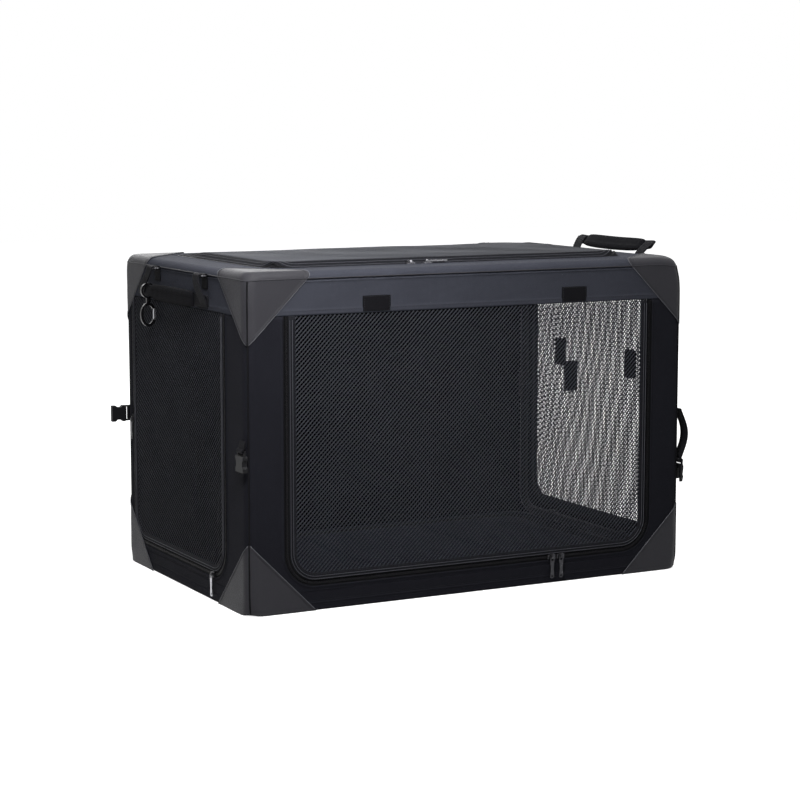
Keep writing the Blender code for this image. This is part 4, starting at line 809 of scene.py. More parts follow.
front_half = net_high.x + ZIP_WIDTH + ZIP_GAP
end_half = (end_net_high.y - end_net_low.y) / 2 + ZIP_WIDTH + ZIP_GAP
end_middle = (end_net_high.y + end_net_low.y) / 2
sill = net_low.z - ZIP_WIDTH - ZIP_GAP
hatch_front = hatch_low.y - ZIP_WIDTH - ZIP_GAP
hatch_half = hatch_high.x + ZIP_WIDTH + ZIP_GAP
FRONT_OPENING = (0.0, front_half, sill, WALL_TOP, OPENING_RADIUS)
LEFT_OPENING = (-end_middle, end_half, sill, WALL_TOP, OPENING_RADIUS)
RIGHT_OPENING = (end_middle, end_half, sill, WALL_TOP, OPENING_RADIUS)
HATCH_OPENING = (0.0, hatch_half, hatch_front, hatch_high.y, OPENING_RADIUS)

DOORS = {
    "front_door": (FRONT_OPENING, on_side(0.0), "base", WALL_FOLD),
    "left_door": (LEFT_OPENING, on_side(-RIGHT_S), "base", WALL_FOLD),
    "right_door": (RIGHT_OPENING, on_side(RIGHT_S), "base", WALL_FOLD),
    "top_door": (HATCH_OPENING, on_hatch, "top", None),
}


def make_tray():
    """Floor board with its skirt: rings that shrink to the middle of the underside and
    of the floor, with a rolled hem below and a seam ridge part of the way up."""
    s = np.linspace(-HALF_WAY, HALF_WAY, 561)[:-1]
    rings = [(share, -HEM, 0.0) for share in (0.0, 0.25, 0.5, 0.75, 0.97)]
    rings += [(1.0, HEM * (math.cos(a) - 1), HEM * (1 - math.sin(a))) for a in np.linspace(math.pi / 2, 0, 7)]
    for z in np.linspace(HEM, TRAY_TOP - 0.001, 24)[1:]:
        ridge = 0.0007 * bump(z, SEAM_RISE, 0.0011) - 0.0005 * bump(z, SEAM_RISE + 0.0022, 0.0008)
        rings.append((1.0, ridge, z))
    rings += [(1.0, -0.0006, TRAY_TOP), (1.0, -0.0034, TRAY_TOP), (1.0, -0.004, TRAY_TOP - 0.001)]
    rings += [(1.0, -0.004, 0.020), (1.0, -0.004, 0.009), (1.0, -0.0055, TRAY_FLOOR + 0.0002)]
    rings += [(share, -0.0055, TRAY_FLOOR) for share in (0.97, 0.7, 0.4, 0.0)]
    points, uv = [], []
    for k, (share, out, z) in enumerate(rings):
        wave = 0.00035 * ripples(s, z, 0.09, 5) if share == 1.0 and out > -0.003 else 0.0
        x, y = around(s, out + wave)
        points.append(joined(x * share, y * share, z))
        uv.append(joined(s, z + out + k * 1e-3))
    made = grid("tray_fabric", np.array(points), np.array(uv), oxford, wrap_columns=True)
    clean(made)
    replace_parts(made, "base_tray")
    finish_piece(made, "base", "oxford")
    line = joined(np.linspace(-HALF_WAY, HALF_WAY, 800), SEAM_RISE + 0.0035)
    stitching("tray_stitches", line, on_side(0.0), 0.0002, "base")


def stitching(name, line, place, out, body, squash=None):
    """Row of stitches along a line on a skin."""
    made = beads(name, line, place, out, STITCH_PITCH, STITCH_SIZE, STITCH, thread)
    return finish_piece(made, body, "webbing", squash)


def folded_lip(away):
    """Height of cloth that is folded over at an opening, at a distance from its edge."""
    return 0.0011 * bump(away, 0.0022, 0.0016) - 0.0009 * smooth_step(1 - away / 0.0008)


def replace_cloth(made, node_name, thickness, *finish):
    """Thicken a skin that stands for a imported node, and finish it."""
    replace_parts(thicken(made, thickness), node_name)
    return finish_piece(made, *finish)


def make_open_wall(name, opening, centre, half, seed):
    """Wall round an opening, ruled from the opening's folded lip to the wall's own edge,
    with slow ripples."""
    rows = [opening_line(opening, -inset) for inset in LIP_INSETS]
    edge = opening_line((0.0, half, WALL_BOTTOM, WALL_TOP, 0.001), 0.0)
    rows = np.array(rows + [rows[-1] + (edge - rows[-1]) * share for share in np.linspace(0, 1, 27)[1:]])
    away = np.linalg.norm(rows - rows[:1], axis=-1)
    u, v = rows[..., 0], rows[..., 1]
    slow = smooth_step((away - 0.004) / 0.03) * waves(u, v, WALL_WAVES, seed)
    points = on_side(centre)(u, v, folded_lip(away) + slow)
    made = grid(name + "_cloth", points[:, ::-1], rows[:, ::-1], oxford)
    replace_cloth(made, name, CLOTH, "base", "oxford", WALL_FOLD)


def make_back_wall():
    """Plain back wall with slow ripples."""
    half = FRONT_CORNER
    u, v = np.meshgrid(np.linspace(-half, half, 241), np.linspace(WALL_BOTTOM, WALL_TOP, 91))
    relief = waves(u, v, BACK_WAVES, 31) * smooth_step((half - np.abs(u)) / 0.03)
    points = on_side(HALF_WAY)(u, v, relief)
    made = grid("back_wall_cloth", points, joined(u, v), oxford)
    replace_cloth(made, "back_wall", CLOTH, "base", "oxford", WALL_FOLD)


def piping(name, word, span, count, out, *finish):
    """Piping up the middle of a corner, between two heights."""
    place = on_side(CORNER_PLACES[word])
    z = np.linspace(*span, count)
    finish_piece(tube(name, place(0 * z, z, out), PIPING, zip_cloth), *finish)


def make_walls():
    """The four walls between the tray and the band, and the piping up their corners."""
    make_open_wall("front_wall", FRONT_OPENING, 0.0, FRONT_CORNER, 11)
    make_open_wall("left_wall", LEFT_OPENING, -RIGHT_S, FLAT_Y + QUARTER / 2, 12)
    make_open_wall("right_wall", RIGHT_OPENING, RIGHT_S, FLAT_Y + QUARTER / 2, 13)
    make_back_wall()
    for word in CORNERS:
        piping(word + "_corner_piping", word, (WRAP_LEG - 0.006, HEIGHT - WRAP_LEG + 0.006), 60, 0.0004,
               "base", "oxford", WALL_FOLD)


def hatch_loop(s):
    """Hatch opening as a closed line with one point for each point round the skin: the
    straights shrink evenly, and each corner turns on its own radius."""
    side, (front, corner, end, far_corner, back) = legs(s)
    near, far = OPENING_RADIUS, HATCH_BACK_RADIUS
    corner, far_corner = corner * math.pi / 2, far_corner * math.pi / 2
    x = front * (hatch_half - near) + near * np.sin(corner)
    x = x - far * (1 - np.cos(far_corner)) - back * (hatch_half - far)
    y = hatch_front + near * (1 - np.cos(corner)) + end * (hatch_high.y - hatch_front - near - far)
    return side * x, y + far * np.sin(far_corner)


def make_cover():
    """Top cover: a band with a turned hem, a rounded shoulder, and a border that is ruled
    from the shoulder to the edge of the hatch."""
    s = np.linspace(-HALF_WAY, HALF_WAY, 641)[:-1]
    shoulder = SKIN_TOP - EDGE
    rows, uv = [], []
    for z in np.concatenate([np.linspace(BAND_BOTTOM, BAND_BOTTOM + 0.010, 9),
                             np.linspace(BAND_BOTTOM + 0.013, shoulder - 0.005, 10),
                             np.linspace(shoulder - 0.004, shoulder, 7)]):
        rise = z - BAND_BOTTOM
        hem = 0.0009 * smooth_step(rise / 0.0008) * (1 - 0.6 * smooth_step((rise - 0.0075) / 0.002))
        seam = 0.0006 * bump(z, shoulder - 0.003, 0.0010) - 0.0007 * bump(z, shoulder - 0.001, 0.0007)
        slow = 0.0005 * ripples(s, z, 0.15, 21) + 0.0003 * ripples(s, 3 * z, 0.05, 22)
        rows.append(joined(*around(s, hem + seam + slow * smooth_step(rise / 0.01)), z))
        uv.append(joined(s, z))
    for angle in np.linspace(0, math.pi / 2, 9)[1:]:
        out = EDGE * (math.cos(angle) - 1) + 0.0004 * ripples(s, angle / 20, 0.12, 23)
        rows.append(joined(*around(s, out), shoulder + EDGE * math.sin(angle)))
        far = shoulder + EDGE * angle
        uv.append(joined(s, far))
    outer_x, outer_y = rows[-1][:, 0], rows[-1][:, 1]
    inner_x, inner_y = hatch_loop(s)
    for share in BORDER_SHARES:
        x = outer_x + (inner_x - outer_x) * share
        y = outer_y + (inner_y - outer_y) * share
        away = np.hypot(x - inner_x, y - inner_y)
        wave = 0.0009 * ripples(x, y, 0.14, 24) * smooth_step(share / 0.2) * smooth_step(away / 0.02)
        rows.append(joined(x, y, SKIN_TOP + folded_lip(away) + wave))
        uv.append(joined(s, far + np.hypot(x - outer_x, y - outer_y)))
    # The cover is drawn in the lighter, lit copy of the walls' cloth: painted light
    made = grid("cover_fabric", np.array(rows), np.array(uv), lit_cover_cloth, wrap_columns=True)
    replace_cloth(made, "top_cover", CLOTH, "top", "oxford")
    line = np.linspace(-HALF_WAY, HALF_WAY, 900)
    seam = on_side(0.0)(line[:-1], HEIGHT - EDGE, LEATHER + 0.0002)
    finish_piece(tube("shoulder_seam", seam, 0.0008, leather), "top", "oxford")
    for word, z, out in (("hem", BAND_BOTTOM + 0.0068, 0.0011), ("shoulder", shoulder - 0.0042, 0.0005)):
        stitching(f"cover_{word}_stitches", joined(line, z), on_side(0.0), out, "top")


def corner_line(c, inset):
    """Line round the back right corner at an inset: straight, arc, straight, with c
    measured from the middle of the arc, and positive along the back."""
    radius = np.maximum(WRAP_RADIUS - inset, 1e-5)
    half_arc = radius * math.pi / 4
    angle = math.pi / 4 + np.clip(c, -half_arc, half_arc) / radius
    past = np.sign(c) * np.maximum(np.abs(c) - half_arc, 0)
    x = OUTER_X - inset - radius + radius * np.cos(angle) - np.maximum(past, 0)
    y = OUTER_Y - inset - radius + radius * np.sin(angle) + np.minimum(past, 0)
    return x, y


def wrap_surface(levels, side_x, side_y, seed):
    """Wrap over a corner: at each level, given as an inset and a depth from the crate's
    end plane, the line round the corner reaches to the slanting cut."""
    shares = np.sin(np.linspace(-math.pi / 2, math.pi / 2, 81))
    far = lengths(np.array(levels)[:, ::2])
    rows, uv = [], []
    for k, (inset, depth, z) in enumerate(levels):
        width = WRAP_LEG - 2 * inset - depth - max(WRAP_RADIUS - inset, 0.0) * (1 - math.pi / 4)
        width = max(width, 0.0006)
        c = shares * width
        edge = (1 - np.abs(shares)) * width
        hem = 0.0005 * smooth_step((0.0055 - edge) / 0.001) - 0.0004 * bump(edge, 0.0038, 0.0006)
        slow = 0.0004 * ripples(c * side_x, depth + inset, 0.06, seed)
        lift = hem * smooth_step(edge / 0.0006) + slow * smooth_step(edge / 0.01)
        on_edge = inset > 0 and depth < 1e-6
        x, y = corner_line(c, inset - (0 if on_edge else lift))
        rows.append(joined(x * side_x, y * side_y, z + (lift if on_edge else 0)))
        uv.append(joined(c, far[k]))
    points, uv = np.array(rows), np.array(uv)
    if side_x * side_y < 0:
        points, uv = points[:, ::-1], uv[:, ::-1]
    return points, uv


def upper_levels():
    """Levels of an upper wrap, from its lower tip up and over the shoulder to the top."""
    edge = EDGE + LEATHER
    levels = [(0.0, HEIGHT - z, z) for z in np.linspace(HEIGHT - WRAP_LEG + WRAP_TIP, HEIGHT - edge, 46)]
    for angle in np.linspace(0, math.pi / 2, 10)[1:-1]:
        depth = edge * (1 - math.sin(angle))
        levels.append((edge * (1 - math.cos(angle)), depth, HEIGHT - depth))
    return levels + [(inset, 0.0, HEIGHT) for inset in np.linspace(edge, WRAP_LEG / 2 - 0.0004, 24)]


def lower_levels():
    """Levels of a lower wrap, from the floor up to its tip."""
    return [(0.0, z, z) for z in np.linspace(0.0004, WRAP_LEG - WRAP_TIP, 50)]


def make_wraps():
    """Faux-leather corners with a turned edge, a row of stitches along it, and piping. Pale cords along the
    slanting edges paint the highlight that the turned edge catches.
    """
    kinds = {
        "upper": (upper_levels(), (HEIGHT - WRAP_LEG + 0.004, HEIGHT - EDGE), ("top", "leather", UPPER_FOLD)),
        "lower": (lower_levels(), (0.002, WRAP_LEG - 0.004), ("base", "leather", LOWER_FOLD)),
    }
    for seed, (word, (side_x, side_y)) in enumerate(CORNERS.items()):
        for kind, (levels, span, finish) in kinds.items():
            points, uv = wrap_surface(levels, side_x, side_y, 40 + seed)
            name = f"{word}_{kind}"
            replace_cloth(grid(name + "_leather", points, uv, leather), name + "_wrap", LEATHER, *finish)
            wrap_stitches(name, points, finish)
            # Pale cords along both slanting edges: painted highlight of the turned edge
            for part, column in (("first", 0), ("second", -1)):
                cord = tube(f"{name}_{part}_edge", points[1:-1, column], LINE_CORD, edge_highlight_cord, sides=6)
                finish_piece(cord, *finish)
            piping(name + "_piping", word, span, 40, 0.0012, *finish)


def wrap_stitches(name, points, finish):
    """Stitches that follow a wrap's slanting edges, a little in from them."""
    for word, turn in (("first", 1), ("second", -1)):
        line = points[2:-2, ::turn]
        far = np.linalg.norm(line - line[:, :1], axis=-1)
        line, far = line[far.max(axis=1) > WRAP_SEAM], far[far.max(axis=1) > WRAP_SEAM]
        row, column = np.arange(len(line)), np.argmax(far > WRAP_SEAM, axis=1)
        picked = line[row, column]
        inner = line[row, np.minimum(column + 6, line.shape[1] - 1)]
        centre, along = spaced(picked, STITCH_PITCH)
        inward, _ = spaced(inner, STITCH_PITCH * lengths(inner)[-1] / lengths(picked)[-1])
        count = min(len(centre), len(inward))
        centre, along, inward = centre[:count], along[:count], inward[:count]
        outward = unit(np.cross(along, inward - centre))
        outward *= np.sign(((centre - [0.0, 0.0, HEIGHT / 2]) * outward).sum(1, keepdims=True))
        made = bead_object(f"{name}_{word}_stitches", centre + outward * 0.0002, along, outward,
                           WRAP_STITCH_SIZE, STITCH, thread)
        finish_piece(made, *finish)


def make_zip(door, opening, place, carrier, squash):
    """Zip along an opening: a tape and a row of teeth on each side of its middle. The
    outer side is sewn to the cloth round the opening, the inner one to the door."""
    middle = ZIP_WIDTH / 2
    for part, sign, start, body, slot_name in (("outer", -1, 0.0, carrier, "oxford"),
                                               ("inner", 1, TOOTH_PITCH / 2, door, "net")):
        near, far = sorted((middle + sign * ZIP_GAP, middle + sign * (middle + TAPE_HEM)))
        section = [(near, TAPE_TOP), (far, TAPE_TOP), (far, TAPE_BACK), (near, TAPE_BACK)]
        tape = opening_strip(f"{door}_{part}_tape", opening, place, section, zip_cloth)
        line = opening_line(opening, middle + sign * TOOTH_REACH)
        teeth = beads(f"{door}_{part}_teeth", line, place, TOOTH_LIFT, TOOTH_PITCH, TOOTH_SIZE, TOOTH,
                      coil_plastic, start)
        for made in (tape, teeth):
            finish_piece(made, body, slot_name, squash)


def make_binding(door, opening, place, squash):
    """Binding sewn round the net: a folded tape with a rolled outer edge, pale lines that paint the
    highlights of its ridges, and stitches.
    """
    start = ZIP_WIDTH + ZIP_GAP
    rows = [(start + inset, out) for inset, out in BINDING_SECTION]
    made = opening_strip(door + "_binding", opening, place, rows, binding_cloth)
    finish_piece(made, door, "net", squash)
    for part, inset in LINES:
        u, v = opening_line(opening, start + inset)[1:-1].T
        cord = tube(f"{door}_{part}_line", place(u, v, 0.0010), LINE_CORD, ridge_highlight_cord, sides=6)
        finish_piece(cord, door, "net", squash)
    line = opening_line(opening, start + BINDING - 0.0022)
    stitching(door + "_stitches", line, place, 0.0006, door, squash)


def yarn_family(outline, lean):
    """Straight yarns of one slant, cut off at a u-shaped outline: each row is a yarn, with
    even stations from its lowest place inside to its highest."""
    centre, half, low, top, radius = outline
    y = np.linspace(low, top, 400)
    reach = half + top - low
    starts = (np.arange(-int(reach / NET_PITCH), int(reach / NET_PITCH)) + 0.5) * NET_PITCH
    x = starts[:, None] + lean * (y - (low + top) / 2)
    corner_y = np.clip(low + radius - y, 0, radius)
    inside = np.abs(x) < half - radius + np.sqrt(radius ** 2 - corner_y ** 2)
    kept = inside.sum(1) > 4
    inside, starts = inside[kept], starts[kept, None]
    first = y[inside.argmax(1)][:, None]
    last = y[len(y) - 1 - inside[:, ::-1].argmax(1)][:, None]
    height = first + (last - first) * np.linspace(0, 1, 26)
    return centre + starts + lean * (height - (low + top) / 2), height


def make_net(door, opening, place, squash):
    """Net of two slanting families of yarn, one laid on the other. Each yarn is a closed
    three-sided form, flat at the back and ridged in front. The whole net swells a little
    between its bindings."""
    inset = ZIP_WIDTH + ZIP_GAP + BINDING - NET_TUCK
    centre, half, low, top, radius = opening
    outline = (centre, half - inset, low + inset, top - 0.0006, radius - inset)
    points, faces, slots, count = [], [], [], 0
    for slot, (lean, level, width) in enumerate(YARN_LAYERS):
        x, y = yarn_family(outline, lean)
        share_x = (x - centre) / half
        share_y = 2 * (y - low) / (top - low) - 1
        loose = np.clip((1 - share_x ** 8) * (1 - share_y ** 4), 0, 1)
        out = level + NET_SWELL * ripples(x, y, 0.17, 51) * loose
        x = x + NET_DRIFT * ripples(x, y, 0.11, 52) * loose
        y = y + NET_DRIFT * ripples(x, y, 0.09, 53) * loose
        side = width / 2 / math.sqrt(2)
        made = np.stack([place(x + k * side, y - k * lean * side, out + ridge)
                         for k, ridge in ((-1, 0.0), (0, YARN_RIDGE), (1, 0.0))], 2)
        index = np.arange(made[..., 0].size).reshape(made.shape[:3]) + count
        count += index.size
        points.append(made.reshape(-1, 3))
        for a, b in ((0, 1), (1, 2), (2, 0)):
            quads = joined(index[:, :-1, a], index[:, :-1, b], index[:, 1:, b], index[:, 1:, a])
            faces.append(quads.reshape(-1, 4))
            slots.append(np.full(len(faces[-1]), slot, np.int32))
    points = np.concatenate(points)
    made = mesh_object(door + "_net", points, np.concatenate(faces), points[:, :2], yarn)
    # The rear family takes the darker copy of the yarn: painted shade
    made.data.materials.append(shaded_rear_yarn)
    made.data.polygons.foreach_set("material_index", np.concatenate(slots))
    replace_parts(made, door)
    finish_piece(made, door, "net", squash)


def patch(name, place, u_span, v_span, out, body, slot_name="oxford", squash=None):
    """Hook-and-loop patch: a low pad with rounded corners and a sewn border."""
    u, v = np.meshgrid(np.linspace(-1, 1, 25), np.linspace(-1, 1, 25))
    middle = np.mean([u_span, v_span], axis=1)
    half = np.ptp([u_span, v_span], axis=1) / 2
    edge = np.maximum(np.abs(u), np.abs(v))
    lift = 0.0013 * (1 - edge ** 16) + 0.0001 * ripples(u, v, 0.4, 61)
    uv = half * joined(u, v)
    flat = middle + uv * (1 - 0.02 * (u * v) ** 6)[..., None]
    made = thicken(grid(name, place(flat[..., 0], flat[..., 1], out + lift), uv, pile), PATCH_THICKNESS)
    finish_piece(made, body, slot_name, squash)
    border = middle + 0.88 * half * [(-1, -1), (1, -1), (1, 1), (-1, 1), (-1, -1)]
    stitching(name + "_stitches", border, place, out + 0.0014, body, squash)


def make_patches():
    """Patches on the band, and on the doors, that hold a rolled-up door."""
    for word, low, high in FRONT_PATCHES:
        place, low, high = on_side(0.0), low - OUTER_X, high - OUTER_X
        patch(f"front_band_patch_{word}", place, (low, high), FRONT_BAND_PATCH, BAND_PATCH_OUT, "top")
        door = (low + FRONT_DOOR_INSETS[0], high - FRONT_DOOR_INSETS[1])
        patch(f"front_door_patch_{word}", place, door, FRONT_DOOR_PATCH, DOOR_PATCH_OUT,
              "front_door", "net", WALL_FOLD)
    for word, sign in (("left", -1), ("right", 1)):
        place = on_side(sign * RIGHT_S)
        for part, *middles in END_PATCHES:
            band, door = ((sign * y - half, sign * y + half) for y, half in zip(middles, END_PATCH_HALVES))
            patch(f"{word}_band_patch_{part}", place, band, END_BAND_PATCH, BAND_PATCH_OUT, "top")
            patch(f"{word}_door_patch_{part}", place, door, END_DOOR_PATCH, DOOR_PATCH_OUT,
                  word + "_door", "net", WALL_FOLD)


def ribbon(name, sides, surface):
    """Webbing between two edges, each a line of points, with a wall of its own."""
    left, right = sides
    shares = np.linspace(0, 1, 9)
    points = left[:, None] + (right - left)[:, None] * shares[:, None]
    width = np.linalg.norm(right - left, axis=1, keepdims=True)
    uv = joined(lengths((left + right) / 2)[:, None], width * shares)
    made = grid(name, points, uv, surface)
    wall = made.modifiers.new("wall", "SOLIDIFY")
    wall.thickness = WEBBING * 0.9
    wall.offset = 0.0
    return made


def facing(place, across, up):
    """Matrix with local X across, local Y up and local Z outward, at a place."""
    across, up = Vector(across), Vector(up)
    return Matrix.Translation(place) @ Matrix((across, up, across.cross(up))).transposed().to_4x4()


def put(made, matrix):
    """Apply a placement to the mesh, so that the object stays at the origin."""
    made.data.transform(matrix)
    made.data.update()
    return made


def round_bar():
    """Section of webbing that comes round a bar from behind: its y and z."""
    angle = np.linspace(math.radians(235), 0, 14)
    return EYE * np.sin(angle), EYE * np.cos(angle)


def anchor_rows():
    """Edges of an anchor: the short tail behind, round over the bar and down in front."""
    y, z = round_bar()
    y, z = np.append(y, [-EYE, -ANCHOR_TAIL]), np.append(z, [EYE, EYE])
    return [joined(side * ANCHOR_WIDTH / 2, y, z) for side in (-1, 1)]


def sewn_box(top, bottom):
    """Line of a box of stitches with one diagonal."""
    turns = ((-1, top), (1, top), (1, bottom), (-1, bottom), (-1, top), (1, bottom))
    return np.array([(side * BOX_HALF, y) for side, y in turns])


def arm_depth(share):
    """Height of a handle's arm part of the way down: a slight bow outward."""
    return EYE + 0.0022 * np.sin(math.pi * share) + 0.0008 * share


def handle_arm(side, spread, reach):
    """Edges of one arm: round the ring, then slanting down to the corner of the bar."""
    y, z = round_bar()
    share = np.linspace(0, 1, 16)[1:]
    y, z = np.append(y, -share * (reach + ARM_OVERLAP)), np.append(z, arm_depth(share))
    slant = np.append(np.zeros(14), smooth_step(share * 0.9))
    edges = ((ANCHOR_SPREAD - ANCHOR_WIDTH / 2, spread - ARM_FOOT),
             (ANCHOR_SPREAD + ANCHOR_WIDTH / 2, spread - 0.0005))
    return [joined(side * (high + (low - high) * slant), y, z) for high, low in edges[::side]]


def handle_bar(spread, reach, sag):
    """Edges of the bar that runs through the grip, its ends turned round."""
    x = np.linspace(-spread + 0.001, spread - 0.001, 60)
    half = HANDLE_STRAP / 2 * (1 - 0.35 * np.abs(x / spread) ** 40)
    z = EYE - 0.0006 + 0.0004 * np.sin(x * 40)
    sag = sag * (1 - (x / spread) ** 2)
    return [joined(x, -reach + side * half - sag, z) for side in (1, -1)]


def grip_surface(spread, reach, sag):
    """Padded sleeve: a squared oval section that swells along the grip, dips at its
    stitched ends and carries a soft lengthwise overlap."""
    x = np.linspace(-GRIP_HALF, GRIP_HALF, 90)[:, None]
    angle = np.linspace(0, math.tau, 49)[:-1]
    swell = np.sqrt(np.clip(1 - np.abs(x / GRIP_HALF) ** 5, 0, 1))
    c, s = np.cos(angle), np.sin(angle)
    y = (0.0092 + 0.0036 * swell) * np.sign(c) * np.abs(c) ** GRIP_SQUARE
    z = (0.0018 + 0.0026 * swell) * np.sign(s) * np.abs(s) ** GRIP_SQUARE
    z = z + 0.0004 * ripples(x, angle * 0.01, 0.02, 71) * s + 0.0009 * smooth_step((c - 0.15) / 0.1) * (s > 0)
    sag = sag * (1 - (x / spread) ** 2)
    return joined(x, y - reach - sag, EYE + z), joined(x, angle * 0.008)


def make_handle(word, side, angle, spread, reach, sag):
    """One handle: two arms, the bar, the padded grip and the box stitches on the arms."""
    turn = facing(joints[word + "_handle_swing"]["pos_m"], (0, side, 0), (0, 0, 1))
    turn = turn @ Matrix.Rotation(-angle, 4, "X")
    body = word + "_handle"
    bar = put(ribbon(word + "_handle_bar", handle_bar(spread, reach, sag), webbing), turn)
    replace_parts(bar, word + "_handle_strap")
    finish_piece(bar, body, "webbing")
    grip = put(grid(word + "_grip_sleeve", *grip_surface(spread, reach, sag), grip_cloth, wrap_columns=True,
                    cap=True), turn)
    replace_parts(grip, word + "_handle_grip")
    finish_piece(grip, body, "grip")
    for part, arm_side in (("near", -1), ("far", 1)):
        arm = put(ribbon(f"{word}_handle_arm_{part}", handle_arm(arm_side, spread, reach), webbing), turn)
        finish_piece(arm, body, "webbing")
        box = sewn_box(-0.005, -0.014)
        (x, y), along = spaced(box, ARM_STITCH_PITCH)[0].T, spaced(joined(*box.T, 0.0), ARM_STITCH_PITCH)[1]
        lean = arm_side * (ANCHOR_SPREAD + 0.003 - 0.55 * (y + 0.006))
        centre = joined(lean + x, y, arm_depth(-y / (HANDLE_REACH + ARM_OVERLAP)) + WEBBING / 2)
        outward = np.tile([0.0, 0.0, 1.0], (len(x), 1))
        stitches = bead_object(f"{word}_arm_stitches_{part}", centre, along, outward, ARM_STITCH_SIZE, STITCH,
                               thread)
        finish_piece(put(stitches, turn), body, "webbing")


def make_anchors():
    """Webbing tabs on the end bands, folded round the rings and sewn in a box."""
    inner_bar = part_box("right_front_ring")[0].x + RING_WIRE / 2
    height = joints["right_handle_swing"]["pos_m"][2]
    for word, side in (("left", -1), ("right", 1)):
        for part, y in (("front", -ANCHOR_SPREAD), ("back", ANCHOR_SPREAD)):
            turn = facing((side * (inner_bar + 0.0004), y, height), (0, -side, 0), (0, 0, 1))
            name = f"{word}_{part}_anchor"
            finish_piece(put(ribbon(name, anchor_rows(), webbing), turn), "top", "webbing")
            line = sewn_box(-0.006, -0.017) + [side * y, height]
            stitching(name + "_stitches", line, on_side(side * RIGHT_S), 0.0024, "top")


def tab_rows(length, reach, bulge):
    """Edges of a strap tab: out from the skin on a sine bulge, down to the buckle's bar
    and round it."""
    share = np.linspace(0, 1, 24)
    start = TAB_THICKNESS / 2 + 0.0003
    offset = start + (reach - start) * share + bulge * np.sin(math.pi * share) ** 1.2
    angle = np.linspace(math.radians(90), math.radians(-250), 20)
    offset = np.append(offset, reach + TAB_EYE * np.cos(angle))
    drop = np.append(-share * (length - 0.0030), TAB_EYE * np.sin(angle) - length)
    return [joined(side * TAB_WIDTH / 2, drop, offset) for side in (-1, 1)]


def make_tabs():
    """The four strap tabs at mid height."""
    up = (0, 0, 1)
    side_place = (SIDE_TAB_INSET - SKIN_X, SKIN_Y, SIDE_TAB_Z)
    short = (TAB_SHORT, TAB_REACH, 0.0)
    long = (TAB_LONG, joints["front_right_buckle_lift"]["pos_m"][0] - SKIN_X, TAB_BULGE)
    spots = {
        "front_left": (facing((-SKIN_X, -TAB_Y, TAB_Z), (0, -1, 0), up), short),
        "back_left": (facing(side_place, up, (1, 0, 0)), short),
        "front_right": (facing((SKIN_X, -TAB_Y, TAB_Z), (0, 1, 0), up), long),
        "back_right": (facing((SKIN_X, TAB_Y, TAB_Z), (0, 1, 0), up), long),
    }
    for word, (turn, sizes) in spots.items():
        made = put(ribbon(word + "_strap", tab_rows(*sizes), webbing), turn)
        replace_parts(made, word + "_tab_strap")
        finish_piece(made, word + "_tab", "webbing")


def make_mat():
    """Padded floor mat: blown up a little by a cloth simulation, then sewn in channels."""
    half = np.array([mat_high.x, mat_high.y])
    u, v = np.meshgrid(np.linspace(-1, 1, MAT_COLUMNS), np.linspace(-1, 1, MAT_ROWS))
    rim = (1 - u ** 6) * (1 - v ** 6)
    x = u * (half[0] - MAT_WAIST * (1 - v ** 2))
    y = v * (half[1] - MAT_WAIST * (1 - u ** 2))
    top = mat_low.z + MAT_RIM + (mat_high.z - mat_low.z - MAT_RIM - MAT_PUFF) * np.sqrt(np.clip(rim, 0, 1))
    uv = joined(u, v) * half
    made = grid("floor_mat_cloth", joined(x, y, top), uv, mat_cloth)
    under = grid("mat_under", joined(x, y, mat_low.z + 0.0008)[:, ::-1], uv[:, ::-1], mat_cloth)
    join_mat(made, under)
    puff(made, MAT_PUFF)
    sew_channels(made)
    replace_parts(made, "floor_mat")
    finish_piece(made, "base", "mat")
    turn = np.linspace(0, math.tau, 240, endpoint=False)
    circle = joined(np.cos(turn), np.sin(turn))
    ring = (half - 0.003) * np.sign(circle) * np.abs(circle) ** 0.16
    piped = tube("mat_edge_piping", joined(*ring.T, mat_high.z - 0.004), 0.0018, mat_piping)
    finish_piece(piped, "base", "mat")


def join_mat(made, under):
    """Join the two faces of the mat by a strip round their edge."""
    bm = bmesh.new()
    bm.from_mesh(made.data)
    bm.from_mesh(under.data)
    bm.verts.ensure_lookup_table()
    index = np.arange(MAT_COLUMNS * MAT_ROWS).reshape(MAT_ROWS, MAT_COLUMNS)
    loops = []
    for table in (index, index[:, ::-1] + index.size):
        border = np.concatenate([table[0], table[1:, -1], table[-1, -2::-1], table[-2:0:-1, 0]])
        loops.append([bm.verts[int(i)] for i in border])
    for a, b, c, d in zip(*loops, *[loop[1:] + loop[:1] for loop in loops]):
        bm.faces.new((c, a, b, d))
    bmesh.ops.recalc_face_normals(bm, faces=bm.faces)
    for face in bm.faces:
        face.smooth = True
    bm.to_mesh(made.data)
    bm.free()
    bpy.data.objects.remove(under)


def get_points(made):
    """The mat's points as an array."""
    flat = np.empty(len(made.data.vertices) * 3, np.float32)
    made.data.vertices.foreach_get("co", flat)
    return flat.reshape(-1, 3)


def set_points(made, points):
    """Move the mat's points, but no lower or higher than it may reach."""
    points[:, 2] = np.clip(points[:, 2], mat_low.z, mat_high.z + MAT_RISE)
    made.data.vertices.foreach_set("co", points.astype(np.float32).ravel())
    made.data.update()


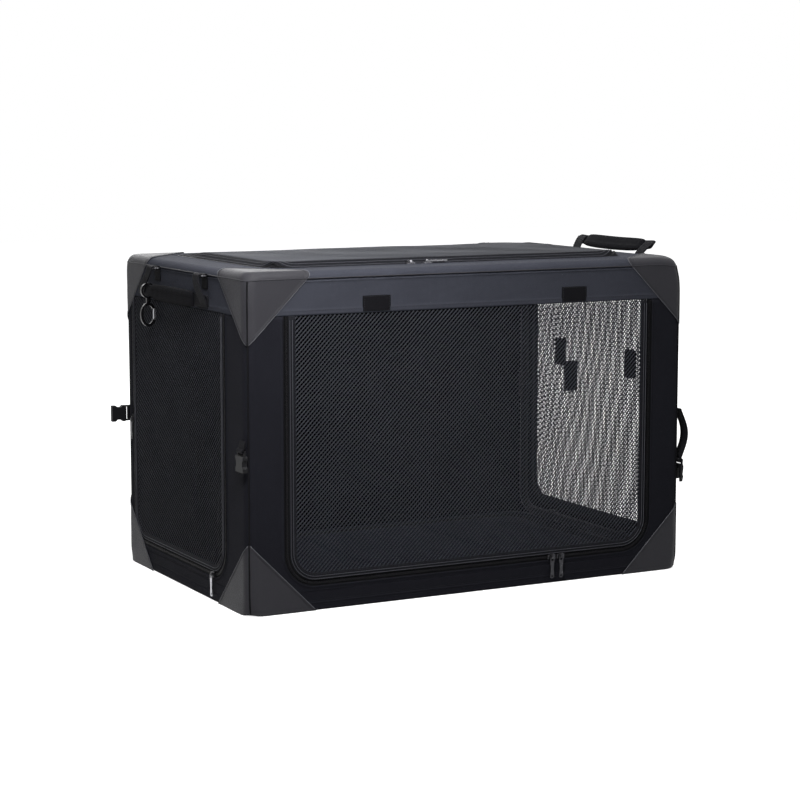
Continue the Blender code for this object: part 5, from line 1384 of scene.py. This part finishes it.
def puff(made, limit):
    """Blow a closed cover up with the cloth simulation, and cap how far a point moves."""
    scene = bpy.context.scene
    cloth = made.modifiers.new("puff", "CLOTH")
    cloth.settings.use_pressure = True
    cloth.settings.uniform_pressure_force = 4.0
    cloth.settings.effector_weights.gravity = 0.0
    cloth.settings.quality = 4
    cloth.point_cache.frame_start = 1
    cloth.point_cache.frame_end = PUFF_FRAMES
    for step in range(1, PUFF_FRAMES + 1):
        scene.frame_set(step)
    before = get_points(made)
    move = get_points(made.evaluated_get(bpy.context.evaluated_depsgraph_get())) - before
    made.modifiers.clear()
    scene.frame_set(1)
    size = np.linalg.norm(move, axis=1, keepdims=True)
    set_points(made, before + move * np.minimum(1.0, limit / np.maximum(size, 1e-9)))


def sew_channels(made):
    """Press two sewn channels and a sewn border into the mat's top, with small puckers."""
    points = get_points(made)
    x, y, z = points.T
    upper = smooth_step((z - mat_low.z - 0.004) / 0.006)
    sewn = bump(np.abs(x), mat_high.x / 3, 0.006)
    border = bump(np.minimum(mat_high.x - np.abs(x), mat_high.y - np.abs(y)), MAT_BORDER, 0.004)
    pucker = 0.0012 * ripples(x, y, 0.03, 81) * (sewn + border)
    points[:, 2] = z - upper * (0.0075 * sewn + 0.003 * border) + upper * pucker
    set_points(made, points)


def dress_frame_nodes():
    """Finishes of the pieces that keep their own shape. The slider part of the way up the left door's zip and
    its pull are copied onto bodies of their own."""
    finishes = {"frame": steel, "gate": nickel, "buckle": buckle_plastic, "hook": hook_metal,
                "slider": gunmetal, "pull": gunmetal, "ring": gunmetal}
    for name, piece in frame["nodes"].items():
        surface = nickel if name in BRIGHT else finishes.get(name.split("_")[-1])
        if surface:
            piece.data.materials.clear()
            piece.data.materials.append(surface)
    for name in ("left_back_slider", "left_back_pull"):
        made = add_object(name + "_on_cloth", frame["nodes"][name].data.copy())
        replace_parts(made, name)
        finish_piece(made, name, "gunmetal", WALL_FOLD)


def make_stage():
    """Pale floor that shows white where it is seen directly, soft lamps and a pale sky."""
    mesh = bpy.data.meshes.new("floor")
    corners = [(x * FLOOR_HALF, y * FLOOR_HALF, 0) for x, y in ((-1, -1), (1, -1), (1, 1), (-1, 1))]
    mesh.from_pydata(corners, [], [(0, 1, 2, 3)])
    floor = add_object("floor", mesh)
    floor.location.z = FLOOR_DROP
    mesh.materials.append(floor_material())
    world = bpy.data.worlds.new("studio")
    bpy.context.scene.world = world
    tree = empty_tree(world)
    white = node(tree, "Background", {"Color": (1, 1, 1, 1), "Strength": 1.0})
    sky = node(tree, "Background", {"Color": SKY_COLOUR, "Strength": SKY})
    show(tree, "OutputWorld", white, sky)
    for name, place, size, power, aim in LAMPS:
        lamp = bpy.data.lights.new(name, "AREA")
        lamp.shape = "RECTANGLE"
        lamp.size, lamp.size_y = size
        lamp.energy = power
        made = add_object(name, lamp)
        made.visible_camera = False
        made.location = place
        made.rotation_euler = (Vector(aim) - Vector(place)).to_track_quat("-Z", "Y").to_euler()


def empty_tree(owner):
    """Node tree of a material or a world, with nothing in it."""
    owner.use_nodes = True
    owner.node_tree.nodes.clear()
    return owner.node_tree


def show(tree, output, seen, other):
    """Show one shader to the rays that see the stage directly, in a gloss or through a
    gap, and another to all the other rays."""
    path = node(tree, "LightPath").outputs
    both = plus(tree, path["Is Camera Ray"], path["Is Glossy Ray"])
    mask = clamped(tree, plus(tree, both, path["Is Transmission Ray"]))
    mix = node(tree, "MixShader", {0: mask, 1: other.outputs[0], 2: seen.outputs[0]})
    node(tree, output, {0: mix.outputs[0]})


def floor_material():
    """Plain pale floor. Seen directly it is white, apart from the crate's soft shadow,
    and it glows a little more far out, so that it ends without a line. To other rays it
    is a darker grey, which throws little light back on the crate."""
    made = bpy.data.materials.new("studio floor")
    tree = empty_tree(made)
    far = vectors(tree, "LENGTH", object_place(tree))["Value"]
    near, end = FLOOR_REACH
    glow = node(tree, "MapRange", {0: far, 1: near, 2: end, 3: FLOOR_GLOW, 4: 1.0}).outputs[0]
    shade, dark = (node(tree, "BsdfDiffuse", {"Color": (grey, grey, grey, 1)})
                   for grey in (FLOOR_SHADE, FLOOR_GREY))
    light = node(tree, "Emission", {"Color": (1, 1, 1, 1), "Strength": glow})
    lit = node(tree, "AddShader", {0: shade.outputs[0], 1: light.outputs[0]})
    show(tree, "OutputMaterial", lit, dark)
    return made


def make_camera():
    """Camera at the photograph's place: turned to the right and a little down."""
    data = bpy.data.cameras.new("camera")
    data.sensor_width = 36.0
    data.lens = CAMERA_LENS
    made = add_object("camera", data)
    made.location = CAMERA_PLACE
    made.rotation_euler = (CAMERA_PITCH, 0.0, CAMERA_TURN)
    bpy.context.scene.camera = made


def build():
    """The whole crate, its stage and the camera."""
    make_camera()
    make_tray()
    make_walls()
    make_cover()
    make_wraps()
    for door, (opening, place, carrier, squash) in DOORS.items():
        make_zip(door, opening, place, carrier, squash)
        make_binding(door, opening, place, squash)
        make_net(door, opening, place, squash)
    make_patches()
    for word, sizes in HANDLES.items():
        make_handle(word, *sizes)
    make_anchors()
    make_tabs()
    make_mat()
    dress_frame_nodes()
    make_stage()
    bpy.context.scene.view_settings.view_transform = "Standard"


build()
